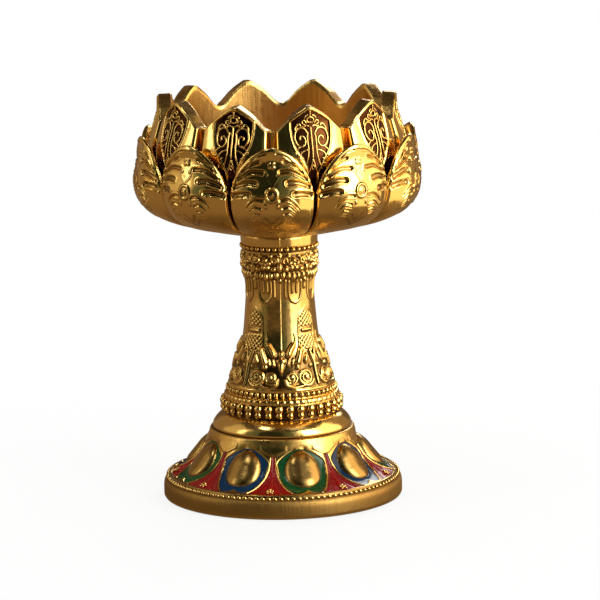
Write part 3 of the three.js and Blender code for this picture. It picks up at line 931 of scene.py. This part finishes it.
def stem_panels(azimuth, height):
    """Four pointed panels of lattice, with a bar across each."""
    u = from_seam(azimuth, 6.9, turn=45)
    field = Relief(u, height)
    half = 2.0 - 0.2 * ease((height - 31) / 5)
    top = 36.7 - 0.9 * u
    within = ease((half - u) / 0.12) * ease((top - height) / 0.15) * ease((height - 28.6) / 0.2)
    pitch = 0.9
    weave = np.maximum(*(np.abs(((u + slant * height) / pitch) % 1 - 0.5) * 2 for slant in (1, -1)))
    clear = ease((np.abs(height - 32.5) - 0.75) / 0.12)
    field.rise += 0.22 * ease((weave - 0.5) / 0.35) * within * clear
    field.shade(ease((0.78 - weave) / 0.3) * within * clear)
    border = [(2.05, 28.6), (2.0, 31), (1.85, 34), (1.55, 35.4), (0, 36.85)]
    field.wire(border, 0.15, 0.14, trench=0.14, count=40)
    field.wire([(0, 32.6), (1.15, 32.6)], 0.42, 0.34, 0.8, 0.2)
    return field


def stem_scrolls(azimuth, height):
    """Four pairs of scrolls around the lower band, each pair mirrored at a seam."""
    field = Relief(from_seam(azimuth, 9.1), height)
    small = spiral((1.95, 24.05), 1.2, 0.3, math.radians(200), 1.7, 1)
    large = spiral((4.75, 24.1), 1.6, 0.35, math.radians(340), 2.1, -1)
    field.wire(small[::-1], 0.24, 0.42, 1.25, 0.3, 60)
    link = [(0.8, 23.7), (1.0, 22.75), (2.0, 22.2), (3.2, 22.35), (4.2, 22.5), (5.4, 22.45), (6.3, 23.3)]
    field.wire(link, 0.3, 0.48, 1.0, 0.3, 40)
    field.wire(large, 0.36, 0.52, 0.7, 0.32, 70)
    field.bump((1.95, 24.05), (0.3, 0.3), 0.42)
    field.bump((4.75, 24.1), (0.36, 0.36), 0.5)
    field.wire([(7.15, 26.6), (7.15, 24.6), (7.15, 22.5)], 0.6, 0.5, 0.5, 0.3)
    field.wire([(0, 26.4), (0, 25.6), (0, 24.7)], 0.8, 0.5, 0.15, 0.25)
    field.bump((3.3, 26.0), (0.5, 0.45), 0.36)
    field.bump((6.1, 26.1), (0.42, 0.4), 0.36)
    field.shade(0.9 * span(height, 22.0, 27.2, 0.3, 0.5))
    return field


# Leaves as points, half-width, rise, share of the width at the tip, and the width of the trench of painted
# shade
STEM_LEAVES = [
    ([(1.45, 28.3), (1.95, 29.1), (2.6, 29.9)], 0.66, 0.62, 0.9, 0.3),
    ([(1.3, 26.4), (1.4, 26.9), (1.5, 27.3)], 0.28, 0.4, 0.6, 0.2),
    ([(2.1, 26.5), (2.2, 27.0), (2.4, 27.5)], 0.28, 0.4, 0.6, 0.2),
    ([(3.1, 26.9), (3.6, 28.0), (4.1, 29.2)], 0.75, 0.6, 0.7, 0.3),
    ([(4.7, 27.0), (4.9, 27.6), (5.1, 28.2)], 0.5, 0.5, 0.5, 0.25),
    ([(6.5, 26.9), (6.2, 27.8), (5.9, 28.8)], 0.62, 0.55, 0.6, 0.3),
    ([(2.9, 29.9), (3.2, 30.9), (3.1, 32.0)], 0.26, 0.2, 0.4, 0.15),
]


def stem_leaves(azimuth, height):
    """Leaf tips that stand between the scrolls and the plain shaft."""
    field = Relief(from_seam(azimuth, 8.3), height)
    field.bump((0, 28.35), (0.55, 0.55), 0.5)
    field.bump((0, 27.1), (0.95, 0.6), 0.5)
    for points, width, rise, tail, trench in STEM_LEAVES:
        field.wire(points, width, rise, tail, trench)
    field.shade(0.8 * span(height, 26.4, 29.2, 0.3, 1.2))
    return field


def stem_relief(azimuth, radius, height):
    """All of the stem's chasing, as a height in mm and a darkness that paints shade in its recesses."""
    parts = (stem_top_band, stem_fringe, stem_panels, stem_scrolls, stem_leaves)
    fields = [part(azimuth, height) for part in parts]
    leaf = np.abs(np.sin(np.radians(azimuth * LEAF_ROW_COUNT / 2)))
    leaf_row = span(height, *LEAF_ROW, 0.15)
    rises = [field.rise for field in fields]
    rises.append(0.09 * hump(from_seam(azimuth, 7), 0, 0.16) * ease((height - SEAM_FOOT) / 0.3))
    rises.append(0.2 * leaf**0.6 * leaf_row)
    rises.append(0.2 * hump(height, BORDER_HEIGHT, 0.2))
    darks = [field.dark for field in fields]
    # Painted shade between the leaves of the leaf row and behind the beads
    darks.append(0.9 * (1 - leaf) * leaf_row)
    darks.extend(span(height, low, high, 0.1) for low, high in BEAD_GROUNDS)
    rise = np.max(rises, 0)
    return rise, np.clip(0.95 * np.max(darks, 0) - rise / 0.25, 0, 1)


def add_profile_rows(rows, tones, profile, azimuths, relief, satin_and_shade):
    """Rows around a profile, moved along its normal by a relief that gives height and darkness."""
    slope = np.gradient(profile, axis=0)
    slope /= np.linalg.norm(slope, axis=1)[:, None]
    radius = profile[:, :1] + np.zeros((1, len(azimuths)))
    height = profile[:, 1:] + np.zeros((1, len(azimuths)))
    around = np.broadcast_to(azimuths, radius.shape)
    rise, dark = relief(around, radius, height)
    points = on_axis(radius + slope[:, 1:] * rise, around, height - slope[:, :1] * rise)
    for line, tone, finish_and_shade in zip(points, dark, np.broadcast_to(satin_and_shade, len(profile))):
        rows.append(line)
        tones.append((tone, finish_and_shade))


def stem():
    azimuths = np.arange(STEM_COLUMNS) * 360 / STEM_COLUMNS
    rows = []
    tones = []
    outside = rounded(STEM_OUTSIDE, STEM_SPACING)
    satin_and_shade = 0.15 - 0.1 * ease((outside[:, 1] - COLLAR_FOOT) / 0.1)
    add_profile_rows(rows, tones, outside, azimuths, stem_relief, satin_and_shade)
    # The hollow is darkened with painted shade
    for radius, height in STEM_HOLLOW:
        rows.append(on_axis(radius, azimuths, height))
        tones.append((0.5, 0.5))
    shape = Shape()
    add_ring(shape, rows, tones)
    shape.made("stem_body", polished, "polished_gold", "stem")


def bead_axes(azimuth, across, outward, tall, lean=0.0):
    """Half-axes of a bead: along the ring, outward, and upright, leaning along the ring."""
    turn = math.radians(azimuth)
    tilt = math.radians(lean)
    around = np.array([math.cos(turn), math.sin(turn), 0])
    out = np.array([math.sin(turn), -math.cos(turn), 0])
    up = np.array([0, 0, 1.0])
    along = around * math.cos(tilt) - up * math.sin(tilt)
    upright = around * math.sin(tilt) + up * math.cos(tilt)
    return np.stack([along * across, out * outward, upright * tall])


def bead_ring(name, count, radius, height, *axes):
    """A row of beads, with their half-axes as bead_axes takes them."""
    shape = Shape()
    for i in range(count):
        azimuth = (i + 0.5) * 360 / count
        add_bead(shape, on_axis(radius, azimuth, height), bead_axes(azimuth, *axes))
    shape.made(name, polished, "polished_gold")


def flange_beads():
    """The ring of tall beads above the flange: a round head over a shorter foot."""
    shape = Shape()
    for i in range(FLANGE_BEAD_COUNT):
        azimuth = i * 360 / FLANGE_BEAD_COUNT
        for radius, height, axes in FLANGE_BEADS:
            add_bead(shape, on_axis(radius, azimuth, height), bead_axes(azimuth, *axes), 12, 8)
    shape.made("flange_beads", polished, "polished_gold")


# The foot: its profile from the rim up to the joint, as (radius, height)
FOOT_RIM = [(20.4, 0.04), (22.7, 0.04), (22.76, 0.7), (22.75, 2.7), (22.5, 3.35), (22.1, 3.75), (21.75, 4.15)]
SKIRT = [
    (21.6, 4.4), (19.3, 5.4), (17.9, 6.3), (16.9, 7.1), (16.1, 8.0), (15.5, 8.9), (14.6, 10.3), (14.1, 11.3),
]
SKIRT_EDGE = (22.2, 4.2)
FOOT_COLLAR = [(13.75, 12.1), (13.45, 13.2), (13.3, 13.35), (8.2, 13.35), (8.2, 14.15)]
FOOT_UNDERSIDE = [(2.35, 14.15), (2.35, 9.25), (11, 9.25), (12.8, 7.8), (15, 5.4), (18, 3.6), (20.2, 2.4)]

# Right halves of a petal's cell and of the red cell, as (distance to the side, distance from the axis)
CELL_HALF = [
    (0, 20.2), (0.8, 20.7), (1.9, 20.95), (2.7, 20.6), (3.4, 19.6), (3.95, 18.5), (4.3, 17.4), (4.45, 16.4),
    (4.4, 15.4), (4.15, 14.5), (0, 14.0),
]
RED_HALF = [
    (0, 21.35), (4.6, 20.75), (4.0, 20.3), (3.0, 19.6), (2.1, 18.6), (1.35, 17.6), (0.9, 16.8), (0.55, 16),
    (0.4, 15), (0.35, 14.2),
]
BOSS_MIDDLE = 16.2
BOSS_ACROSS = 3.35
BOSS_ALONG = 3.9
BOSS_POWER = 2.1
BOSS_HEIGHT = 1.2
BOSS_SHRINK = 0.96
ENAMEL_SUNK = 0.06
ENAMEL_DIP = 0.14
ENAMEL_FLOOR = 0.45
ENAMEL_POINTS = 88
SKIRT_LEAN = 1.25
WALL_HALF = 0.24
WALL_HEIGHT = 0.1
CELL_POINTS = 90
SKIRT_FOOT = 4.2
SKIRT_TOP = 12
SKIRT_WITHIN = 13
RIM_WITHIN = 21

# Heights of the painted shade behind the rim's beads and its softness, then that row with the beads' lean
BEHIND_BEADS = (3.45, 4.4, 0.2)
RIM_BEADS = ("rim_beads", 120, 22.02, 3.92, 0.5, 0.3, 0.34, 35)

COLLAR_POINT = 11.45
COLLAR_ARCH = 1.3
COLLAR_TOP = 13.25
COLLAR_OUT = 0.24
COLLAR_WITHIN = 12.9
JOINT_HEIGHT = 13.3

# Beads of a floret as distance to the side, distance from the axis and size
FLORET = [
    (0, 20.55, 0.3), (-0.5, 20.35, 0.26), (0.5, 20.35, 0.26), (0, 20.0, 0.3), (-0.4, 20.85, 0.22),
    (0.4, 20.85, 0.22),
]
FOOT_COLUMNS = 720


def mirrored(half):
    """A closed outline from its right half, which starts on the middle line."""
    right = np.array(half, float)
    left = right[right[:, 0] > 0][::-1] * [-1, 1]
    return np.vstack([right, left])


def skirt_height(radius):
    """Height of the skirt's smooth surface at a radius."""
    return table([SKIRT_EDGE] + SKIRT + FOOT_COLLAR[:1], radius)


def signed_gap(u, v, loop):
    """Distance to a closed outline, negative inside it."""
    gap = distance_to(u, v, np.vstack([loop, loop[:1]]))[0]
    return np.where(is_inside(u, v, loop), -gap, gap)


def plan_from(azimuth, radius, middle):
    """Distance to the side and from the axis, seen from the nearest petal's middle line."""
    angle = np.radians(folded_to(azimuth, FOOT_PETALS, middle))
    return radius * np.sin(angle), radius * np.cos(angle)


def collar_edge(azimuth):
    """Height of the collar's lower edge: a point over each red cell and an arch over each boss."""
    share = np.abs(folded_to(azimuth, FOOT_PETALS, FOOT_TURN)) / (FOOT_PITCH / 2)
    return COLLAR_POINT - COLLAR_ARCH * ease((share - 0.25) / 0.75) ** 1.4


def skirt_run(radius):
    """Length along the skirt's curve, from its lower edge up to a radius."""
    line = np.array(SKIRT)
    run = np.concatenate([[0], np.cumsum(np.hypot(*np.diff(line, axis=0).T))])
    return table(list(zip(line[:, 0], run)), radius)


def boss_share(side, out):
    """0 at a boss's middle and 1 on its outline, measured along the skirt's slope."""
    along = np.abs(skirt_run(out) - skirt_run(BOSS_MIDDLE)) / BOSS_ALONG
    return ((np.abs(side) / BOSS_ACROSS) ** BOSS_POWER + along**BOSS_POWER) ** (1 / BOSS_POWER)


def foot_relief(azimuth, radius, height):
    """Bosses, cells, wires and the scalloped collar, as a height in mm and a darkness that paints shade."""
    side, out = plan_from(azimuth, radius, FOOT_TURN)
    red_side, red_out = plan_from(azimuth, radius, FOOT_TURN + FOOT_PITCH / 2)
    cell_gap = signed_gap(side, out, smooth_loop(mirrored(CELL_HALF), CELL_POINTS))
    wall = np.minimum(cell_gap, signed_gap(red_side, red_out, mirrored(RED_HALF)))
    rho = boss_share(side, out)
    boss_gap = (rho - 1) * BOSS_ALONG
    crest = WALL_HEIGHT * (1 - np.clip(1 - wall / WALL_HALF, 0, 1) ** 2)
    rise = np.where(wall > 0, crest, -ENAMEL_FLOOR * ease(-wall / 0.18))
    rise = rise * ease(boss_gap / 0.2) + BOSS_HEIGHT * np.clip(1 - rho**2, 0, 1) ** 0.65
    # Painted shade in a ring where each boss meets its enamel, and over the whole boss
    dark = 0.7 * peak(boss_gap, -0.05, 0.16) * (cell_gap < 0)
    dark = np.maximum(dark, 0.5 * ease(-boss_gap / 0.2))
    on_skirt = (height > SKIRT_FOOT) & (height < SKIRT_TOP) & (radius > SKIRT_WITHIN)
    rise = np.where(on_skirt, rise, 0)
    dark = np.where(on_skirt, dark, 0)
    rise, dark = with_collar(azimuth, radius, height, rise, dark)
    # Painted shade over the whole rim, along its bottom edge and behind its beads
    low = radius > RIM_WITHIN
    foot_line = 0.8 * ease((0.5 - height) / 0.4)
    bead_ground = 0.85 * span(height, *BEHIND_BEADS)
    dark = np.maximum(dark, np.maximum(0.4, np.maximum(foot_line, bead_ground)) * low)
    return rise, np.clip(dark, 0, 1)


def with_collar(azimuth, radius, height, rise, dark):
    """Adds the scalloped collar above the bosses, a painted shadow under its edge, and painted shade along
    the joint with the stem.
    """
    up_here = radius > COLLAR_WITHIN
    over = height - collar_edge(azimuth)
    band = ease(over / 0.14) * ease((COLLAR_TOP - height) / 0.12) * up_here
    lip = hump(over, 0.16, 0.2) * up_here
    shadow = 0.8 * peak(over, -0.08, 0.16) * up_here
    joint = 0.85 * peak(height, JOINT_HEIGHT, 0.1) * up_here
    dark = np.maximum(dark * (1 - band), np.maximum(shadow, joint))
    return rise * (1 - band) + COLLAR_OUT * band + 0.06 * lip, dark


def smooth_loop(loop, count):
    """A smooth closed curve through the points of a loop."""
    line = smooth_line(np.vstack([loop[-2:], loop, loop[:3]]), 2000)
    gap = np.linalg.norm(line - loop[0], axis=1)
    middle = len(line) // 2
    first = np.argmin(gap[:middle])
    last = middle + np.argmin(gap[middle:])
    return resampled(line[first:last + 1], count + 1)[:-1]


def foot():
    azimuths = np.arange(FOOT_COLUMNS) * 360 / FOOT_COLUMNS
    rows = []
    tones = []
    outside = np.vstack([rounded(FOOT_RIM, 0.35), smooth_line(SKIRT, 66), rounded(FOOT_COLLAR, 0.22)])
    # The rim and the collar take the brushed tone, whose browner colour is partly painted shade
    satin_and_shade = 0.06 + 0.8 * ease((4.0 - outside[:, 1]) / 0.3) + 0.3 * ease((outside[:, 1] - 11.4) / 0.5)
    add_profile_rows(rows, tones, outside, azimuths, foot_relief, satin_and_shade)
    # The underside is darkened with painted shade
    for radius, height in FOOT_UNDERSIDE:
        rows.append(on_axis(radius, azimuths, height))
        tones.append((0.3, 0.8))
    shape = Shape()
    add_ring(shape, rows, tones)
    shape.made("foot_body", satin_gilt, "satin_gold", "foot")


def skirt_points(side, out, azimuth, lift):
    """Points over the skirt, at plan coordinates from a petal's middle line and a lift in mm."""
    radius = np.hypot(side, out)
    angle = np.degrees(np.arctan2(side, out))
    return on_axis(radius, azimuth + angle, skirt_height(radius) + lift * SKIRT_LEAN)


def petal_enamel(name, node, slot, material, azimuth):
    """The enamel around a boss: a ring from the boss to the cell's wire, higher at both edges."""
    cell = smooth_loop(mirrored(CELL_HALF), ENAMEL_POINTS)
    middle = np.array([0, BOSS_MIDDLE])
    steps = np.linspace(0.3, 0.95, 80)[:, None]
    beyond = boss_share(cell[:, 0] * steps, BOSS_MIDDLE + (cell[:, 1] - BOSS_MIDDLE) * steps)
    reach = steps[np.clip((beyond < BOSS_SHRINK).sum(0), 0, len(steps) - 1)]
    oval = middle + (cell - middle) * reach
    rows = []
    tones = []
    for share in np.linspace(0, 1, 9):
        line = oval + (cell - oval) * share
        lift = -ENAMEL_SUNK - ENAMEL_DIP * (1 - (2 * share - 1) ** 2)
        rows.append(skirt_points(line[:, 0], line[:, 1], azimuth, lift))
        tones.append((0.75 * abs(2 * share - 1) ** 3, 0.0))
    for share in (1.0, 0.0):
        line = oval + (cell - oval) * share
        rows.append(skirt_points(line[:, 0], line[:, 1], azimuth, -ENAMEL_FLOOR))
        tones.append((1.0, 0.0))
    shape = Shape()
    add_ring(shape, [row[::-1] for row in rows], tones)
    shape.made(name, material, slot, node)


def red_enamel_cell(name, node, azimuth):
    """The red flame between two petals: a groove at its top, and a rib that widens downwards."""
    half = sorted((out, side) for side, out in RED_HALF if side > 0)
    outs = np.linspace(half[0][0], 21.2, 40)
    width = table(half + [(21.35, 4.6)], outs)
    across = np.linspace(-1, 1, 25)
    out, share = np.meshgrid(outs, across, indexing="ij")
    wide = width[:, None]
    side = share * wide
    radius = np.hypot(side, out)
    shrink = np.minimum(1, 21.3 / radius)
    side = side * shrink
    out = out * shrink
    rib_half = 0.1 + 0.5 * ease((out - 16.5) / 3.5)
    rib = hump(side, 0, rib_half) * span(out, 16.6, 21.1, 1.2, 0.5)
    vein = peak(np.abs(side), 0.6 * wide, 0.2) * ease((wide - 0.8) / 0.4)
    split = peak(side, 0, 0.12) * ease((17 - out) / 0.8)
    lift = -ENAMEL_SUNK - 0.1 * (1 - share**2) + 0.2 * rib - 0.12 * vein - 0.1 * split
    outer = skirt_points(side, out, azimuth, lift)
    inner = skirt_points(side, out, azimuth, -ENAMEL_FLOOR)
    # Painted shade in the grooves and beside the rib, and deeper colour at the edges where the enamel pools
    beside = peak(np.abs(side), rib_half + 0.12, 0.16) * ease(out - 17)
    dark = np.clip(0.6 * np.abs(share) ** 4 + 0.8 * np.maximum(vein, np.maximum(split, beside)), 0, 1)
    shape = Shape()
    add_shell(shape, outer[::-1], inner[::-1], 1, dark[::-1], np.zeros(dark.shape))
    shape.made(name, red_enamel, "red_enamel", node)


def foot_florets():
    """A tiny gold floret at the foot of each red cell."""
    shape = Shape()
    for petal in range(FOOT_PETALS):
        azimuth = FOOT_TURN + (petal + 0.5) * FOOT_PITCH
        for side, out, size in FLORET:
            centre = skirt_points(np.array(side), np.array(out), azimuth, 0.08)
            add_bead(shape, centre, bead_axes(azimuth, size, size * 0.9, size * 0.8), 8, 5)
    shape.made("foot_florets", polished, "polished_gold")


def build_foot_enamels():
    """The fills, numbered as in the frame. Greens and blues alternate from the front right green."""
    farthest = (FOOT_PETALS - 1) // 2
    counts = {"green": 0, "blue": 0}
    for index, step in enumerate(range(-farthest, farthest + 1)):
        colour, material = (("green", green_enamel), ("blue", blue_enamel))[step % 2]
        counts[colour] += 1
        label = f"{counts[colour]:02d}"
        middle = FOOT_TURN + step * FOOT_PITCH
        names = (f"{colour}_fill_{label}", f"enamel_{colour}_{label}", f"{colour}_enamel")
        petal_enamel(*names, material, middle)
        red_label = f"{index + 1:02d}"
        red_enamel_cell(f"red_fill_{red_label}", f"enamel_red_{red_label}", middle + FOOT_PITCH / 2)


# The camera, at the photograph's viewing angle and distance
CAMERA_DISTANCE = 636.56
CAMERA_HEIGHT = 154.65
CAMERA_LENS = 204.99
CAMERA_PITCH = 0.18232
CAMERA_YAW = 0.00593
CAMERA_ROLL = -0.0157
OBJECT_TURN = math.radians(2.56)


def place_camera():
    data = bpy.data.cameras.new("camera")
    data.sensor_width = 36
    data.lens = CAMERA_LENS
    data.clip_start = 0.01
    data.clip_end = 20
    camera = bpy.data.objects.new("camera", data)
    bpy.context.scene.collection.objects.link(camera)
    forward = Vector((
        math.sin(CAMERA_YAW) * math.cos(CAMERA_PITCH),
        math.cos(CAMERA_YAW) * math.cos(CAMERA_PITCH),
        -math.sin(CAMERA_PITCH),
    ))
    level = forward.cross(Vector((0, 0, 1))).normalized()
    upright = level.cross(forward)
    right = math.cos(CAMERA_ROLL) * level + math.sin(CAMERA_ROLL) * upright
    up = -math.sin(CAMERA_ROLL) * level + math.cos(CAMERA_ROLL) * upright
    axes = Matrix((right, up, -forward)).transposed().to_4x4()
    place = Matrix.Translation(Vector((0, -CAMERA_DISTANCE, CAMERA_HEIGHT)) * MM)
    camera.matrix_world = Matrix.Rotation(OBJECT_TURN, 4, "Z") @ place @ axes
    bpy.context.scene.camera = camera


# The stage: floor, lamps, and cards that the metal reflects
FLOOR_HALF = 4.0
FLOOR_GREY = (0.86, 0.86, 0.85, 1)

# Two distances from the axis, in metres, and the share of white that the camera sees at each
FLOOR_WHITE = (0.022, 0.12, 0.85, 1.0)
BROWN = (1.0, 0.7, 0.42)
OLIVE = (0.8, 1.0, 0.7)
PALE = (1.0, 0.97, 0.9)
ORANGE = (1.0, 0.67, 0.38)
AMBER = (1.0, 0.82, 0.55)

# Upright cards as name, first and last azimuth, colour and strength
CARDS = [
    ("front_card", -40, 8, OLIVE, 0.02),
    ("front_middle_card", 8, 22, OLIVE, 0.12),
    ("front_right_card", 22, 37, PALE, 0.5),
    ("right_card", 37, 72, PALE, 4.0),
    ("side_right_card", 72, 116, AMBER, 2.7),
    ("rear_right_card", 116, 152, BROWN, 0.35),
    ("rear_card", 152, 208, BROWN, 0.12),
    ("rear_left_card", 208, 250, BROWN, 0.3),
    ("side_left_card", 250, 298, AMBER, 0.65),
    ("front_left_card", 298, 320, OLIVE, 0.14),
]
CARD_RADIUS = 0.5
CARD_BOTTOM = -0.02
CARD_TOP = 0.6
CARD_FADE = 0.025
TABLE_GLOW = 0.27

# Level cards as name, radius, height, colour and strength
FLAT_CARDS = [
    ("table_card", 0.495, 0.0004, ORANGE, TABLE_GLOW),
    ("near_table_card", 0.05, 0.0008, ORANGE, 0.17),
    ("ceiling_card", 0.5, CARD_TOP, BROWN, 0.06),
]

# The table's bright part, with its first and last azimuth, its nearest and farthest edge, and its height
BRIGHT_TABLE = ("table_right_card", 40, 112, 0.09, 0.49, 0.0012, AMBER, 1.7)

# Lamps as name, azimuth, elevation, distance, width, height and power
SOFTBOXES = [
    ("right_softbox", 52, 24, 0.45, 0.16, 0.3, 0.8),
    ("left_softbox", -72, 22, 0.45, 0.07, 0.26, 0.12),
    ("rear_softbox", 165, 30, 0.48, 0.2, 0.2, 0.7),
    ("top_right_softbox", 48, 66, 0.5, 0.2, 0.14, 0.06),
    ("top_left_softbox", -52, 66, 0.5, 0.1, 0.1, 0.24),
]
LAMP_TARGET = (0, 0, 0.04)


def plain_object(name, points, faces, material):
    mesh = bpy.data.meshes.new(name)
    mesh.from_pydata([tuple(p) for p in points], [], faces)
    mesh.materials.append(material)
    made = bpy.data.objects.new(name, mesh)
    bpy.context.scene.collection.objects.link(made)
    return made


def build_floor():
    """A pale floor, which the camera sees nearly white, and white away from the object."""
    material, tree, shader = new_material("pale_floor")
    shader.inputs["Base Color"].default_value = FLOOR_GREY
    shader.inputs["Roughness"].default_value = 0.9
    rays = add_node(tree, "ShaderNodeLightPath")
    white = add_node(tree, "ShaderNodeEmission", {"Color": (1, 1, 1, 1), "Strength": 1.0})
    where = add_node(tree, "ShaderNodeTexCoord").outputs["Object"]
    reach = add_node(tree, "ShaderNodeVectorMath", {0: where}, operation="LENGTH").outputs["Value"]
    share = between(tree, reach, *FLOOR_WHITE)
    seen = combined(tree, "MULTIPLY", rays.outputs["Is Camera Ray"], share)
    mix = add_node(tree, "ShaderNodeMixShader", {0: seen, 1: shader.outputs[0], 2: white.outputs[0]})
    tree.links.new(mix.outputs[0], tree.nodes["Material Output"].inputs["Surface"])
    corners = [(x * FLOOR_HALF, y * FLOOR_HALF, 0) for x, y in ((-1, -1), (1, -1), (1, 1), (-1, 1))]
    plain_object("floor", corners, [(0, 1, 2, 3)], material)


def glow(name, colour, strength, fade=0.0):
    """A card's light. Up to the height fade, in metres, it goes over from the table's glow to its own."""
    material = bpy.data.materials.new(name)
    material.use_nodes = True
    tree = material.node_tree
    tree.nodes.remove(tree.nodes["Principled BSDF"])
    own = [channel * strength for channel in colour] + [1]
    if fade:
        low = [channel * TABLE_GLOW for channel in ORANGE] + [1]
        where = add_node(tree, "ShaderNodeTexCoord").outputs["Object"]
        height = add_node(tree, "ShaderNodeSeparateXYZ", {0: where}).outputs["Z"]
        own = mixed(tree, between(tree, height, 0.0, fade, 0.0, 1.0), low, own)
    light = add_node(tree, "ShaderNodeEmission", {"Color": own, "Strength": 1.0})
    tree.links.new(light.outputs[0], tree.nodes["Material Output"].inputs["Surface"])
    return material


def strip(name, edges, start, end, steps, material):
    """Quads between two arcs, each a radius and a height in metres. Only reflections see them."""
    azimuths = np.linspace(start, end, steps + 1)
    points = np.vstack([on_axis(radius, azimuths, height) for radius, height in edges])
    faces = [(i, i + 1, steps + 2 + i, steps + 1 + i) for i in range(steps)]
    hide_from_camera(plain_object(name, points, faces, material))


def hide_from_camera(made):
    made.visible_camera = False
    made.visible_diffuse = False
    made.visible_shadow = False
    made.visible_transmission = False


def card(name, start, end, colour, strength):
    """A curved upright card around the object."""
    steps = max(2, int(abs(end - start) / 6))
    edges = [(CARD_RADIUS, CARD_BOTTOM), (CARD_RADIUS, CARD_TOP)]
    strip(name, edges, start, end, steps, glow(name, colour, strength, CARD_FADE))


def flat_card(name, radius, height, colour, strength):
    """A round level card that only reflections see."""
    azimuths = np.arange(24) * 15
    points = on_axis(np.full(24, radius), azimuths, height)
    hide_from_camera(plain_object(name, points, [tuple(range(24))], glow(name, colour, strength)))


def table_sector(name, start, end, near, far, height, colour, strength):
    """A level card on the table, between two azimuths and two distances from the axis."""
    strip(name, [(near, height), (far, height)], start, end, 8, glow(name, colour, strength))


def softbox(name, azimuth, elevation, reach, width, height, power):
    """A rectangular lamp that looks at the middle of the object."""
    data = bpy.data.lights.new(name, "AREA")
    data.shape = "RECTANGLE"
    data.size = width
    data.size_y = height
    data.energy = power
    lamp = bpy.data.objects.new(name, data)
    bpy.context.scene.collection.objects.link(lamp)
    tilt = math.radians(elevation)
    offset = Vector(on_axis(reach * math.cos(tilt), azimuth, reach * math.sin(tilt)))
    lamp.location = Vector(LAMP_TARGET) + offset
    lamp.rotation_euler = (-offset).to_track_quat("-Z", "Y").to_euler()


def build_world():
    """A white world for the camera and for reflections, and a softer one for the light."""
    world = bpy.data.worlds.new("studio")
    bpy.context.scene.world = world
    world.use_nodes = True
    tree = world.node_tree
    soft = tree.nodes["Background"]
    soft.inputs["Color"].default_value = (1, 0.98, 0.95, 1)
    soft.inputs["Strength"].default_value = 0.7
    white = add_node(tree, "ShaderNodeBackground", {"Color": (1, 1, 1, 1), "Strength": 1.0})
    rays = add_node(tree, "ShaderNodeLightPath")
    seen = combined(tree, "ADD", rays.outputs["Is Camera Ray"], rays.outputs["Is Glossy Ray"])
    seen = combined(tree, "ADD", seen, rays.outputs["Is Transmission Ray"])
    mix = add_node(tree, "ShaderNodeMixShader", {0: seen, 1: soft.outputs[0], 2: white.outputs[0]})
    tree.links.new(mix.outputs[0], tree.nodes["World Output"].inputs["Surface"])


def build_stage():
    build_world()
    build_floor()
    for values in CARDS:
        card(*values)
    for values in FLAT_CARDS:
        flat_card(*values)
    table_sector(*BRIGHT_TABLE)
    for values in SOFTBOXES:
        softbox(*values)


scene = bpy.context.scene
scene.view_settings.view_transform = "Standard"
place_camera()
build_stage()

candle_cup()
crown_filigree()
outer_petals()
stem()
for values in BEAD_ROWS:
    bead_ring(*values)
flange_beads()
foot()
bead_ring(*RIM_BEADS)
build_foot_enamels()
foot_florets()
for node in ("tie_screw", "spring_washer", "plain_washer"):
    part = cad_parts[node]
    part.data.materials.clear()
    part.data.materials.append(zinc_steel)
